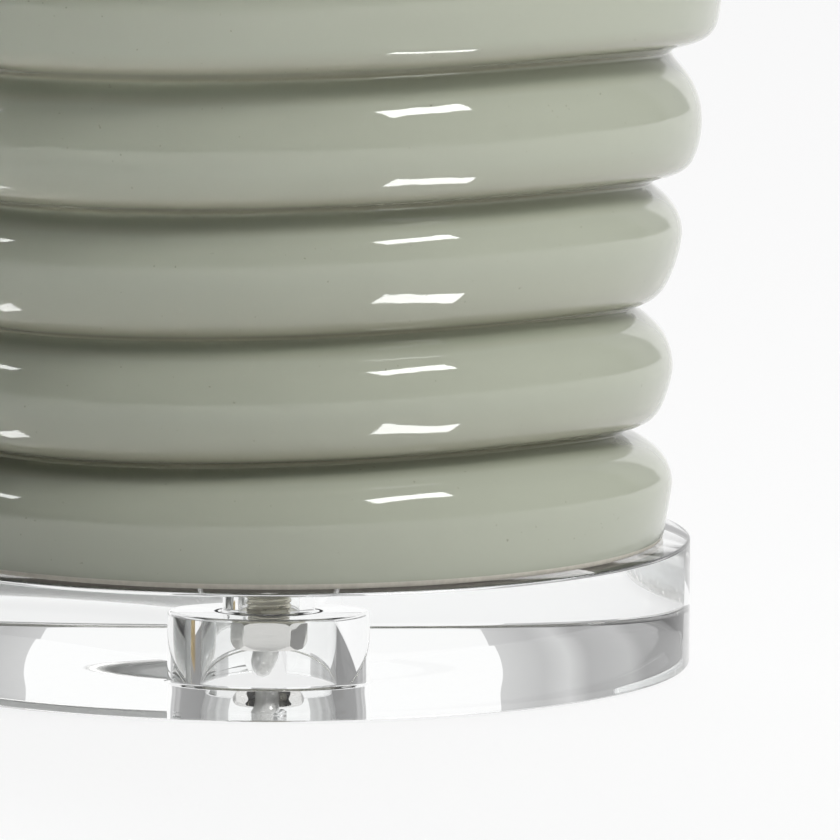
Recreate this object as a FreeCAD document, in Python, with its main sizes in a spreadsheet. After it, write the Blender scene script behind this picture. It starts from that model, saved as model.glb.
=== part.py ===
import FreeCAD, Part
import math
import os

import Sketcher

# Ribbed ginger jar table lamp on a clear acrylic disc. Millimetres, +Z up.
# The origin is the centre of the disc's underside, where the lamp stands on the table.

document = FreeCAD.newDocument("jar_lamp")
sheet = document.addObject("Spreadsheet::Sheet", "sizes")

driving_sizes = {
    # clear disc that carries everything
    "base_radius": 89.0,
    "base_thickness": 26.5,
    "base_edge_chamfer": 0.5,
    "base_bore_radius": 6.5,
    "recess_radius": 14.3,
    "recess_depth": 12.7,
    "channel_width": 9.4,
    "channel_height": 7.0,
    # threaded tube and what is screwed or slipped on it
    "pipe_radius": 4.85,
    "pipe_bore_radius": 3.5,
    "pipe_end_setback": 1.4,
    "pipe_length_in_cap": 7.0,
    "slip_clearance": 0.05,
    "nut_across_flats": 14.3,
    "nut_thickness": 5.5,
    "nut_chamfer": 1.1,
    "washer_radius": 7.7,
    "washer_thickness": 1.0,
    # ceramic jar
    "jar_foot_radius": 83.9,
    "jar_foot_crest_radius": 84.8,
    "jar_foot_crest_height": 7.6,
    "jar_wall": 7.0,
    "jar_floor": 9.0,
    "jar_foot_width": 11.0,
    "jar_foot_recess": 2.0,
    "jar_floor_hole_radius": 12.0,
    "jar_waist_radius": 73.8,
    "jar_waist_height": 21.0,
    "jar_lower_radius": 84.8,
    "jar_lower_height": 103.3,
    "jar_middle_radius": 98.5,
    "jar_middle_height": 172.0,
    "jar_belly_radius": 110.5,
    "jar_belly_height": 238.0,
    "jar_shoulder_radius": 96.0,
    "jar_shoulder_height": 297.0,
    "jar_neck_radius": 45.0,
    "jar_neck_height": 328.0,
    "jar_height": 345.0,
    "jar_lip_radius": 3.4,
    "bush_flange_radius": 18.0,
    "bush_flange_thickness": 3.0,
    # spun cap on the neck, spacer tube, harp saddle
    "cap_gasket_thickness": 1.0,
    "cap_radius": 50.0,
    "cap_wall": 1.2,
    "cap_skirt_height": 6.0,
    "cap_rise": 12.0,
    "cap_crown_radius": 15.0,
    "cap_shoulder_rise": 3.0,
    "cap_edge_round": 2.4,
    "spacer_radius": 9.5,
    "spacer_wall": 1.2,
    "spacer_height": 18.0,
    "saddle_thickness": 1.6,
    "saddle_width": 12.0,
    "harp_foot_offset": 27.0,
    "harp_wire_radius": 2.3,
    "saddle_post_height": 11.0,
    # harp, its sleeves and its stud
    "harp_height": 250.0,
    "harp_half_width": 56.0,
    "harp_leg_spare": 17.5,
    "harp_top_half_width": 21.0,
    "sleeve_wall": 1.3,
    "sleeve_height": 16.0,
    "sleeve_travel": 18.0,
    "stud_flange_radius": 8.0,
    "stud_flange_thickness": 3.0,
    "stud_flange_chamfer": 2.0,
    "stud_tip_chamfer": 1.0,
    "stud_radius": 3.15,
    "stud_height": 15.0,
    # lamp holder
    "holder_cap_radius": 17.0,
    "holder_cap_wall": 0.8,
    "holder_cap_height": 22.0,
    "holder_cap_slope": 4.0,
    "holder_cap_turn": 3.0,
    "holder_cap_round": 2.0,
    "holder_hub_radius": 8.5,
    "holder_hub_height": 7.5,
    "holder_shell_radius": 15.9,
    "holder_shell_wall": 0.7,
    "holder_shell_height": 45.0,
    "holder_shell_lap": 6.0,
    "liner_wall": 0.8,
    "liner_gap": 0.2,
    "screw_shell_wall": 0.5,
    "holder_core_radius": 12.4,
    "holder_core_height": 19.0,
    "holder_core_flange": 3.0,
    "holder_core_lift": 2.0,
    "holder_core_chamfer": 3.0,
    "screw_shell_setback": 1.0,
    "contact_radius": 3.6,
    "contact_chamfer": 1.0,
    "contact_thickness": 1.4,
    "terminal_screw_radius": 2.6,
    "terminal_screw_length": 1.8,
    "terminal_height": 13.0,
    "knob_radius": 6.4,
    "knob_length": 13.0,
    "knob_gap": 1.4,
    "knob_collar_inset": 1.6,
    "knob_collar_lean": 0.4,
    "knob_collar_height": 2.0,
    "knob_flare_height": 2.0,
    "knob_edge_chamfer": 1.0,
    "knob_end_thickness": 3.0,
    "knob_shaft_radius": 1.8,
    "knob_shaft_depth": 6.0,
    "knob_height": 9.0,
    "lead_radius": 1.1,
    "lead_gap": 0.15,
    "lead_bend_drop": 2.5,
    "lead_straight": 2.0,
    # lamp bulb
    "bulb_cap_radius": 13.2,
    "bulb_cap_wall": 0.5,
    "bulb_cap_height": 24.0,
    "bulb_cap_chamfer": 3.0,
    "bulb_tip_radius": 2.6,
    "bulb_tip_flange_radius": 6.6,
    "bulb_tip_margin": 1.0,
    "bulb_tip_height": 3.0,
    "bulb_tip_gap": 0.1,
    "bulb_radius": 30.0,
    "bulb_neck_radius": 14.2,
    "bulb_glass_height": 80.0,
    "bulb_glass_wall": 1.0,
    # drum shade
    "shade_top_radius": 165.0,
    "shade_bottom_radius": 190.5,
    "shade_height": 280.0,
    "shade_recess": 15.0,
    "backing_thickness": 1.0,
    "linen_thickness": 0.8,
    "trim_height": 9.0,
    "trim_thickness": 0.7,
    "ring_wire_radius": 1.6,
    "ring_gap": 0.05,
    "ring_lean_gap": 0.3,
    "spoke_radius": 1.9,
    "hub_radius": 12.0,
    "hub_thickness": 2.0,
    "hub_gap": 0.1,
    "hub_spoke_lap": 2.0,
    # finial
    "finial_gap": 0.15,
    "finial_insert_radius": 5.0,
    "finial_insert_height": 13.0,
    "finial_foot_radius": 8.5,
    "finial_foot_height": 2.0,
    "finial_waist_wall": 1.4,
    "finial_waist_height": 6.5,
    "finial_bore_spare": 0.5,
    "finial_ball_radius": 12.5,
    "finial_height": 34.0,
    # cord and plug
    "cord_radius": 2.8,
    "cord_lift": 0.2,
    "cord_end_above_pipe": 3.0,
    "coil_gap": 0.5,
    "coil_inner_radius": 22.4,
    "coil_centre_x": -126.0,
    "coil_centre_y": 90.0,
    "plug_width": 25.0,
    "plug_length": 28.0,
    "plug_corner_radius": 5.0,
    "plug_edge_chamfer": 1.5,
    "plug_relief_length": 28.0,
    "plug_relief_lap": 1.5,
    "plug_relief_wall": 0.2,
    "plug_relief_end_radius": 6.4,
    "plug_blade_spacing": 12.7,
    "plug_blade_width": 6.4,
    "plug_blade_thickness": 1.5,
    "plug_blade_length": 17.5,
    "plug_blade_chamfer": 0.5,
}

for row, (name, value) in enumerate(driving_sizes.items(), start=1):
    sheet.set(f"A{row}", name)
    sheet.set(f"B{row}", str(value))
    sheet.setAlias(f"B{row}", name)
document.recompute()


class Size:
    """A length that carries both its value and the sheet formula that gives it."""

    def __init__(self, value, formula):
        self.value = float(value)
        self.formula = formula

    def joined(self, other, sign, value):
        return Size(value, f"({self.formula} {sign} {as_size(other).formula})")

    def __add__(self, other):
        return self.joined(other, "+", self.value + as_size(other).value)

    def __sub__(self, other):
        return self.joined(other, "-", self.value - as_size(other).value)

    def __mul__(self, other):
        return self.joined(other, "*", self.value * as_size(other).value)

    def __truediv__(self, other):
        return self.joined(other, "/", self.value / as_size(other).value)


def as_size(number):
    if isinstance(number, Size):
        return number
    return Size(number, repr(float(number)))


class Sizes:
    """The sheet's cells by name, each as a Size."""

    def __getattr__(self, name):
        return Size(sheet.get(name), f"sizes.{name}")


size = Sizes()
sub_parts = []


def bind(feature, **properties):
    """Ties properties of a feature to sheet formulas; a double underscore stands for a dot."""
    for name, length in properties.items():
        feature.setExpression(name.replace("__", "."), as_size(length).formula)


def place(feature, x=0, y=0, z=0):
    base = (as_size(x), as_size(y), as_size(z))
    placement = feature.Placement
    placement.Base = FreeCAD.Vector(*[part.value for part in base])
    feature.Placement = placement
    bind(feature, Placement__Base__x=x, Placement__Base__y=y, Placement__Base__z=z)


def keep(feature, label):
    """Counts a finished feature as a piece of the lamp, under its own name."""
    feature.Label = label
    sub_parts.append(feature)
    return feature


def plane(body, role):
    return next(item for item in body.Origin.OriginFeatures if item.Role == role)


def outline_sketch(body, name, corners, role="XZ_Plane"):
    """A closed outline of straight lines whose corners are tied to sheet formulas."""
    sketch = body.newObject("Sketcher::SketchObject", name)
    sketch.AttachmentSupport = [(plane(body, role), "")]
    sketch.MapMode = "FlatFace"
    corners = [(as_size(across), as_size(up)) for across, up in corners]
    points = [FreeCAD.Vector(across.value, up.value, 0) for across, up in corners]
    for number, start in enumerate(points):
        end = points[(number + 1) % len(points)]
        sketch.addGeometry(Part.LineSegment(start, end), False)
    for number in range(len(points)):
        following = (number + 1) % len(points)
        sketch.addConstraint(Sketcher.Constraint("Coincident", number, 2, following, 1))
    for number, (across, up) in enumerate(corners):
        for kind, length, on_axis in (("DistanceX", across, -2), ("DistanceY", up, -1)):
            if length.value == 0:
                sketch.addConstraint(Sketcher.Constraint("PointOnObject", number, 1, on_axis))
                continue
            tie = Sketcher.Constraint(kind, -1, 1, number, 1, length.value)
            index = sketch.addConstraint(tie)
            sketch.setExpression(f"Constraints[{index}]", length.formula)
    return sketch


def turned(label, corners, z=0, kept=True):
    """A body turned on a lathe: the outline's corners are (radius, height above its seat)."""
    body = document.addObject("PartDesign::Body", label)
    sketch = outline_sketch(body, f"{label}_outline", corners)
    turning = body.newObject("PartDesign::Revolution", f"{label}_turning")
    turning.Profile = sketch
    turning.ReferenceAxis = (sketch, ["V_Axis"])
    turning.Angle = 360
    sketch.Visibility = False
    place(body, z=z)
    return keep(body, label) if kept else body


def tube(label, inner, outer, height, z=0):
    return turned(label, [(inner, 0), (outer, 0), (outer, height), (inner, height)], z)


def solid_feature(label, shape, z=0, placement=None):
    """A piece whose shape is worked out from the sheet's values."""
    feature = document.addObject("Part::Feature", label)
    feature.Shape = shape
    if placement:
        feature.Placement = placement
    else:
        place(feature, z=z)
    return keep(feature, label)


def vector(x, y, z=0.0):
    return FreeCAD.Vector(x, y, z)


# Seats, from the table upwards
recess_ceiling = size.recess_depth
washer_seat = recess_ceiling - size.washer_thickness
nut_seat = washer_seat - size.nut_thickness
pipe_start = nut_seat + size.pipe_end_setback
jar_seat = size.base_thickness
gasket_seat = jar_seat + size.jar_height
cap_seat = gasket_seat + size.cap_gasket_thickness
spacer_seat = cap_seat + size.cap_rise + size.cap_wall
saddle_seat = spacer_seat + size.spacer_height
holder_seat = saddle_seat + size.saddle_thickness
pipe_length = holder_seat + size.pipe_length_in_cap - pipe_start


def base_disc():
    chamfer = size.base_edge_chamfer
    rim = size.base_radius
    top = size.base_thickness
    disc = turned(
        "acrylic_base",
        [
            (size.recess_radius, 0),
            (rim - chamfer, 0),
            (rim, chamfer),
            (rim, top - chamfer),
            (rim - chamfer, top),
            (size.base_bore_radius, top),
            (size.base_bore_radius, size.recess_depth),
            (size.recess_radius, size.recess_depth),
        ],
    )
    document.recompute()
    volume_before = disc.Shape.Volume
    half = size.channel_width / 2
    bevel = size.channel_width / 4
    channel = outline_sketch(
        disc,
        "cord_channel_outline",
        [
            (half * -1, 0),
            (half, 0),
            (half, size.channel_height - bevel),
            (bevel, size.channel_height),
            (bevel * -1, size.channel_height),
            (half * -1, size.channel_height - bevel),
        ],
    )
    pocket = disc.newObject("PartDesign::Pocket", "cord_channel")
    pocket.Profile = channel
    pocket.Type = "Length"
    pocket.Length = size.base_radius.value
    bind(pocket, Length=size.base_radius)
    document.recompute()
    rear_point = vector(0, rim.value - chamfer.value, size.channel_height.value / 2)
    if disc.Shape.Volume >= volume_before or disc.Shape.isInside(rear_point, 0.01, True):
        raise RuntimeError("the cord channel has to run from the recess to the rear rim")


nut_turn = 28  # degrees, how the nut happens to stand when it is tight


def hex_nut(label, z):
    """A hexagon with its corners turned off at both ends, threaded on the pipe."""
    corner = size.nut_across_flats / math.sqrt(3)
    flat = size.nut_across_flats / 2
    bore = size.pipe_radius + size.slip_clearance
    turned_blank = turned(
        f"{label}_blank",
        [
            (bore, 0),
            (flat, 0),
            (corner, size.nut_chamfer),
            (corner, size.nut_thickness - size.nut_chamfer),
            (flat, size.nut_thickness),
            (bore, size.nut_thickness),
        ],
        kept=False,
    )
    hexagon = document.addObject("Part::Prism", f"{label}_hexagon")
    hexagon.Polygon = 6
    bind(hexagon, Circumradius=corner, Height=size.nut_thickness)
    hexagon.Placement.Rotation = FreeCAD.Rotation(vector(0, 0, 1), nut_turn)
    nut = document.addObject("Part::Common", label)
    nut.Base = hexagon
    nut.Tool = turned_blank
    place(nut, z=z)
    keep(nut, label)


def threaded_pipe():
    tube("threaded_pipe", size.pipe_bore_radius, size.pipe_radius, pipe_length, pipe_start)


# The ribs above the foot, from the bottom: share of the jar's outline, where its crest stands
# between the two grooves, and how far the crest stands out. They are uneven, as thrown by hand.
jar_ribs = [
    (27.6, 0.50, 9.9),
    (26.7, 0.60, 8.3),
    (28.3, 0.36, 8.8),
    (28.3, 0.40, 8.8),
    (27.5, 0.50, 9.0),
    (28.8, 0.56, 8.6),
    (27.8, 0.42, 9.0),
    (28.4, 0.52, 8.8),
    (27.4, 0.54, 8.6),
    (27.0, 0.46, 8.2),
    (25.8, 0.52, 8.0),
    (22.2, 0.50, 7.2),
    (18.2, 0.50, 5.8),
]


def arc_between(start, corner, end):
    """The arc that leaves start towards corner and reaches end from there."""
    middle = (start + end) * 0.5
    rise = corner - middle
    half_chord = (end - start).Length / 2
    sagitta = half_chord * math.tan(math.atan2(rise.Length, half_chord) / 2)
    return Part.Arc(start, middle + rise.normalize() * sagitta, end).toShape()


def tangent_arc(crest, direction, end):
    """The arc that leaves the crest along direction and ends at end."""
    reach = end - crest
    leg = reach.dot(reach) / (2 * reach.dot(direction))
    return arc_between(crest, crest + direction * leg, end)


def jar_guide(inset):
    """The line that joins the grooves, seen from the side, moved inwards by inset."""
    stations = [
        (size.jar_waist_radius, size.jar_waist_height),
        (size.jar_lower_radius, size.jar_lower_height),
        (size.jar_middle_radius, size.jar_middle_height),
        (size.jar_belly_radius, size.jar_belly_height),
        (size.jar_shoulder_radius, size.jar_shoulder_height),
        (size.jar_neck_radius, size.jar_neck_height),
    ]
    points = [vector(radius.value - inset, 0, height.value) for radius, height in stations]
    guide = Part.BSplineCurve()
    guide.interpolate(points)
    return guide


def jar_body():
    wall = size.jar_wall.value
    foot = size.jar_foot_radius.value
    top = size.jar_height.value
    neck = size.jar_neck_radius.value
    lip = size.jar_lip_radius.value
    guide = jar_guide(0)
    total = sum(share for share, _, _ in jar_ribs)
    grooves = [guide.value(guide.FirstParameter)]
    passed = 0.0
    for share, _, _ in jar_ribs:
        passed += share / total * guide.length()
        grooves.append(guide.value(guide.parameterAtDistance(min(passed, guide.length()))))
    grooves[-1] = guide.value(guide.LastParameter)

    crest = vector(size.jar_foot_crest_radius.value, 0, size.jar_foot_crest_height.value)
    edges = [
        tangent_arc(crest, vector(0, 0, -1), vector(foot, 0, 0)),
        tangent_arc(crest, vector(0, 0, 1), grooves[0]),
    ]
    for number, (_, lean, depth) in enumerate(jar_ribs):
        low, high = grooves[number], grooves[number + 1]
        along = (high - low).normalize()
        outward = vector(along.z, 0, -along.x)
        crest = low + (high - low) * lean + outward * depth
        edges.append(tangent_arc(crest, along * -1, low))
        edges.append(tangent_arc(crest, along, high))
    collar_end = vector(neck, 0, top - 2 * lip)
    lip_out = vector(neck + lip, 0, top - lip)
    lip_top = vector(neck, 0, top)
    edges.append(Part.LineSegment(grooves[-1], collar_end).toShape())
    edges.append(arc_between(collar_end, vector(neck + lip, 0, top - 2 * lip), lip_out))
    edges.append(arc_between(lip_out, vector(neck + lip, 0, top), lip_top))
    inside = jar_guide(wall)
    inner_top = vector(neck - wall, 0, top)
    floor = size.jar_floor.value
    hole = size.jar_floor_hole_radius.value
    recess = size.jar_foot_recess.value
    foot_inside = foot - size.jar_foot_width.value
    edges.append(Part.LineSegment(lip_top, inner_top).toShape())
    edges.append(Part.LineSegment(inner_top, inside.value(inside.LastParameter)).toShape())
    edges.append(inside.toShape())
    corners = [
        inside.value(inside.FirstParameter),
        vector(size.jar_waist_radius.value - wall, 0, floor),
        vector(hole, 0, floor),
        vector(hole, 0, recess),
        vector(foot_inside, 0, recess),
        vector(foot_inside, 0, 0),
        vector(foot, 0, 0),
    ]
    for start, end in zip(corners, corners[1:]):
        edges.append(Part.LineSegment(start, end).toShape())
    outline = Part.Wire(Part.__sortEdges__(edges))
    shape = Part.Face(outline).revolve(vector(0, 0, 0), vector(0, 0, 1), 360)
    solid_feature("jar_body", Part.makeSolid(shape) if shape.ShapeType == "Shell" else shape, z=jar_seat)


def jar_bush():
    """The rubber bush that centres the pipe in the jar's floor."""
    bore = size.pipe_radius + size.slip_clearance
    plug = size.jar_floor_hole_radius - size.slip_clearance
    shoulder = size.jar_floor
    turned(
        "jar_floor_bush",
        [
            (bore, size.jar_foot_recess),
            (plug, size.jar_foot_recess),
            (plug, shoulder),
            (size.bush_flange_radius, shoulder),
            (size.bush_flange_radius, shoulder + size.bush_flange_thickness),
            (bore, shoulder + size.bush_flange_thickness),
        ],
        jar_seat,
    )


def neck_cap():
    """The spun cap that closes the neck, on its felt ring, with the spacer tube on top."""
    neck = size.jar_neck_radius
    tube(
        "cap_gasket",
        neck - size.jar_wall,
        neck + size.jar_lip_radius / 2,
        size.cap_gasket_thickness,
        gasket_seat,
    )
    wall = size.cap_wall
    bore = size.pipe_radius + size.slip_clearance
    skirt = size.cap_skirt_height
    crown = size.cap_crown_radius
    shoulder = crown + size.cap_rise
    rim = size.cap_radius
    edge = rim - size.cap_edge_round
    turned(
        "neck_cap",
        [
            (bore, skirt + size.cap_rise),
            (crown, skirt + size.cap_rise),
            (shoulder, skirt + size.cap_shoulder_rise),
            (edge, skirt),
            (rim - wall, skirt - wall),
            (rim - wall, 0),
            (rim, 0),
            (rim, skirt),
            (edge, skirt + wall * 1.5),
            (shoulder, skirt + size.cap_shoulder_rise + wall * 1.3),
            (crown, skirt + size.cap_rise + wall),
            (bore, skirt + size.cap_rise + wall),
        ],
        cap_seat - skirt,
    )
    tube(
        "neck_spacer",
        size.spacer_radius - size.spacer_wall,
        size.spacer_radius,
        size.spacer_height,
        spacer_seat,
    )


def harp_saddle():
    """The strip under the lamp holder with a post at each end for the harp's legs."""
    reach = size.harp_foot_offset + size.saddle_width / 2
    strip = document.addObject("Part::Box", "saddle_strip")
    bind(strip, Length=reach * 2, Width=size.saddle_width, Height=size.saddle_thickness)
    place(strip, x=reach * -1, y=size.saddle_width / -2)
    hole = document.addObject("Part::Cylinder", "saddle_hole")
    bind(hole, Radius=size.pipe_radius + size.slip_clearance, Height=size.saddle_thickness)
    drilled = document.addObject("Part::Cut", "saddle_drilled")
    drilled.Base = strip
    drilled.Tool = hole
    posts = []
    for side, name in ((-1, "left"), (1, "right")):
        post = document.addObject("Part::Cylinder", f"saddle_post_{name}")
        bind(post, Radius=size.harp_wire_radius, Height=size.saddle_post_height + size.saddle_thickness)
        place(post, x=size.harp_foot_offset * side)
        posts.append(post)
    saddle = document.addObject("Part::MultiFuse", "harp_saddle")
    saddle.Shapes = [drilled] + posts
    place(saddle, z=saddle_seat)
    keep(saddle, "harp_saddle")


def rounded_path(points, share=0.45):
    """Straight runs joined by tangent arcs; prints the smallest radius and gives wire and length."""
    points = [vector(*point) for point in points]
    edges = []
    radii = []
    here = points[0]
    for number in range(1, len(points) - 1):
        corner = points[number]
        before = corner - points[number - 1]
        after = points[number + 1] - corner
        cut = share * min(before.Length, after.Length)
        start = corner - before.normalize() * cut
        end = corner + after.normalize() * cut
        half_turn = math.acos(max(-1.0, min(1.0, before.dot(after)))) / 2
        radii.append(cut / math.tan(half_turn))
        edges.append(Part.LineSegment(here, start).toShape())
        edges.append(arc_between(start, corner, end))
        here = end
    edges.append(Part.LineSegment(here, points[-1]).toShape())
    return Part.Wire(edges), radii


def swept(path, radius):
    """A round bar or tube along a path."""
    first = path.Edges[0]
    start = first.valueAt(first.FirstParameter)
    towards = first.tangentAt(first.FirstParameter)
    ring = Part.Wire(Part.makeCircle(radius, start, towards))
    return path.makePipeShell([ring], True, False)


harp_seat = holder_seat + size.saddle_post_height
harp_top = holder_seat + size.harp_height

# The harp's bends above its straight legs: share of its half width, share of its height
harp_bends = [(0.93, 0.20), (1.02, 0.50), (0.80, 0.79)]


def harp():
    """The bow that carries the shade: one bent wire with a flanged stud at its top."""
    foot = size.harp_foot_offset.value
    wide = size.harp_half_width.value
    straight = (size.sleeve_height + size.sleeve_travel + size.harp_leg_spare).value
    flat = size.harp_top_half_width.value
    top = harp_top.value - harp_seat.value - size.harp_wire_radius.value
    right = [(foot, 0, 0), (foot, 0, straight)]
    for share_out, share_up in harp_bends:
        right.append((wide * share_out, 0, straight + (top - straight) * share_up))
    right.append((flat, 0, top))
    left = [(-x, y, z) for x, y, z in reversed(right)]
    path, radii = rounded_path(right + left)
    print("harp bend radii", [round(radius, 1) for radius in radii])
    solid_feature("harp", swept(path, size.harp_wire_radius.value), z=harp_seat)
    flange = size.stud_flange_radius
    thick = size.stud_flange_thickness
    tip = thick + size.stud_height
    turned(
        "harp_stud",
        [
            (0, 0),
            (flange - size.stud_flange_chamfer, 0),
            (flange, thick / 3),
            (flange, thick),
            (size.stud_radius, thick),
            (size.stud_radius, tip - size.stud_tip_chamfer),
            (size.stud_radius - size.stud_tip_chamfer, tip),
            (0, tip),
        ],
        harp_top,
    )


def harp_sleeves():
    """The sleeves that lock the harp's legs to the saddle's posts; each slides up to free its leg."""
    bore = size.harp_wire_radius + size.slip_clearance
    for side, name in ((-1, "left"), (1, "right")):
        sleeve = tube(
            f"harp_sleeve_{name}",
            bore,
            bore + size.sleeve_wall,
            size.sleeve_height,
            holder_seat,
        )
        place(sleeve, x=size.harp_foot_offset * side, z=holder_seat)


shell_seat = holder_seat + size.holder_cap_height - size.holder_shell_lap
core_seat = shell_seat + size.holder_core_lift
contact_seat = core_seat + size.holder_core_height
screw_shell_radius = size.bulb_cap_radius + size.slip_clearance * 2
liner_radius = size.holder_shell_radius - size.holder_shell_wall - size.liner_gap
shell_top = size.holder_shell_height
terminal_z = core_seat + size.terminal_height
knob_z = core_seat + size.knob_height


def lamp_holder():
    """Cap, shell, paper liner, core, screw shell, contact and terminal screws."""
    wall = size.holder_cap_wall
    hub = size.holder_hub_radius
    rise = size.holder_hub_height
    outer = size.holder_cap_radius
    shoulder = rise + size.holder_cap_slope
    straight = shoulder + size.holder_cap_turn
    bore = size.pipe_radius + size.slip_clearance
    turned(
        "holder_cap",
        [
            (bore, 0),
            (hub, 0),
            (hub, rise),
            (outer - size.holder_cap_round, shoulder),
            (outer, straight),
            (outer, size.holder_cap_height),
            (outer - wall, size.holder_cap_height),
            (outer - wall, straight + wall / 2),
            (outer - size.holder_cap_round - wall / 2, shoulder + wall),
            (hub - wall, rise + wall),
            (bore, rise + wall),
        ],
        holder_seat,
    )
    shell = size.holder_shell_radius
    shell_tube = tube(
        "holder_shell",
        shell - size.holder_shell_wall,
        shell,
        size.holder_shell_height,
        shell_seat,
    )
    hole = shell_tube.newObject("PartDesign::SubtractiveCylinder", "knob_hole")
    bind(hole, Radius=size.knob_shaft_radius + size.slip_clearance * 4, Height=shell)
    hole.AttachmentSupport = [(plane(shell_tube, "XZ_Plane"), "")]
    hole.MapMode = "FlatFace"
    hole.setExpression("AttachmentOffset.Base.y", (knob_z - shell_seat).formula)
    tube(
        "holder_liner",
        liner_radius - size.liner_wall,
        liner_radius,
        contact_height(),
        contact_seat,
    )
    core = turned(
        "holder_core",
        [
            (0, 0),
            (size.holder_core_radius - size.holder_core_chamfer, 0),
            (size.holder_core_radius, size.holder_core_chamfer),
            (size.holder_core_radius, size.holder_core_height - size.holder_core_flange),
            (liner_radius, size.holder_core_height - size.holder_core_flange),
            (liner_radius, size.holder_core_height),
            (0, size.holder_core_height),
        ],
        core_seat,
    )
    bored = core.newObject("PartDesign::SubtractiveCylinder", "shaft_bore")
    bind(bored, Radius=size.knob_shaft_radius + size.slip_clearance, Height=size.holder_core_radius * 2)
    bored.AttachmentSupport = [(plane(core, "XZ_Plane"), "")]
    bored.MapMode = "FlatFace"
    bored.setExpression("AttachmentOffset.Base.y", size.knob_height.formula)
    bored.setExpression(
        "AttachmentOffset.Base.z",
        (size.holder_core_radius - size.knob_shaft_depth).formula,
    )
    tube(
        "screw_shell",
        screw_shell_radius,
        screw_shell_radius + size.screw_shell_wall,
        contact_height() - size.screw_shell_setback,
        contact_seat,
    )
    turned(
        "centre_contact",
        [
            (0, 0),
            (size.contact_radius, 0),
            (size.contact_radius - size.contact_chamfer, size.contact_thickness),
            (0, size.contact_thickness),
        ],
        contact_seat,
    )
    screws = []
    for side, name in ((-1, "left"), (1, "right")):
        screw = document.addObject("Part::Cylinder", f"terminal_screw_{name}")
        bind(screw, Radius=size.terminal_screw_radius, Height=size.terminal_screw_length)
        screw.Placement.Rotation = FreeCAD.Rotation(vector(0, 1, 0), 90 * side)
        place(screw, x=size.holder_core_radius * side, z=terminal_z)
        screws.append(screw)
    pair = document.addObject("Part::Compound", "terminal_screws")
    pair.Links = screws
    keep(pair, "terminal_screws")


def contact_height():
    """The height from the core's top to the shell's rim."""
    return shell_seat + shell_top - contact_seat


def switch_knob():
    """The turn knob on the front of the holder, between the harp's legs, with its shaft."""
    start = size.holder_shell_radius + size.knob_gap
    collar = size.knob_radius - size.knob_collar_inset
    end = size.knob_length
    bore_end = end - size.knob_end_thickness
    knob = turned(
        "switch_knob",
        [
            (size.knob_shaft_radius, 0),
            (collar, 0),
            (collar + size.knob_collar_lean, size.knob_collar_height),
            (size.knob_radius, size.knob_collar_height + size.knob_flare_height),
            (size.knob_radius, end - size.knob_edge_chamfer),
            (size.knob_radius - size.knob_edge_chamfer, end),
            (0, end),
            (0, bore_end),
            (size.knob_shaft_radius, bore_end),
        ],
    )
    shaft_start = size.holder_core_radius - size.knob_shaft_depth + size.slip_clearance * 4
    shaft_length = start + bore_end - shaft_start
    shaft = turned(
        "switch_shaft",
        [
            (0, 0),
            (size.knob_shaft_radius, 0),
            (size.knob_shaft_radius, shaft_length),
            (0, shaft_length),
        ],
    )
    for piece, distance in ((knob, start), (shaft, shaft_start)):
        piece.Placement.Rotation = FreeCAD.Rotation(vector(1, 0, 0), 90)
        place(piece, y=distance * -1, z=knob_z)


glass_neck_angle = math.radians(-24)  # where the neck's curve meets the globe, from its middle
globe_side_angle = math.radians(35)


def bulb():
    """The bulb: contact tip, screw cap and frosted glass."""
    tip_seat = contact_seat + size.contact_thickness + size.bulb_tip_gap
    cap_start = tip_seat + size.bulb_tip_height
    turned(
        "bulb_tip",
        [
            (0, 0),
            (size.bulb_tip_radius, 0),
            (size.bulb_tip_flange_radius, size.bulb_tip_height),
            (0, size.bulb_tip_height),
        ],
        tip_seat,
    )
    cap = size.bulb_cap_radius
    chamfer = size.bulb_cap_chamfer
    inner_chamfer = chamfer + size.bulb_cap_wall
    opening = size.bulb_tip_flange_radius + size.bulb_tip_margin
    turned(
        "bulb_cap",
        [
            (opening, 0),
            (cap - chamfer, 0),
            (cap, chamfer),
            (cap, size.bulb_cap_height),
            (cap - size.bulb_cap_wall, size.bulb_cap_height),
            (cap - size.bulb_cap_wall, inner_chamfer),
            (cap - inner_chamfer, size.bulb_cap_wall),
            (opening, size.bulb_cap_wall),
        ],
        cap_start,
    )
    glass_start = cap_start + size.bulb_cap_height
    globe = size.bulb_radius.value
    neck = size.bulb_neck_radius.value
    high = size.bulb_glass_height.value
    wall = size.bulb_glass_wall.value

    def profile(inset):
        radius = globe - inset
        centre = vector(0, 0, high - globe)
        low = vector(neck - inset, 0, 0)
        join = centre + vector(math.cos(glass_neck_angle), 0, math.sin(glass_neck_angle)) * radius
        down = vector(math.sin(glass_neck_angle), 0, -math.cos(glass_neck_angle))
        middle = centre + vector(math.cos(globe_side_angle), 0, math.sin(globe_side_angle)) * radius
        crown = centre + vector(0, 0, radius)
        return low, tangent_arc(join, down, low), Part.Arc(join, middle, crown).toShape(), crown

    low_out, neck_out, globe_out, crown_out = profile(0)
    low_in, neck_in, globe_in, crown_in = profile(wall)
    rim = Part.LineSegment(low_out, low_in).toShape()
    axis = Part.LineSegment(crown_out, crown_in).toShape()
    outline = Part.Wire(Part.__sortEdges__([neck_out, globe_out, axis, globe_in, neck_in, rim]))
    glass = Part.Face(outline).revolve(vector(0, 0, 0), vector(0, 0, 1), 360)
    solid_feature("bulb_glass", glass, z=glass_start)


hub_seat = harp_top + size.stud_flange_thickness + size.hub_gap
shade_top = hub_seat + size.shade_recess
shade_seat = shade_top - size.shade_height


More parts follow.
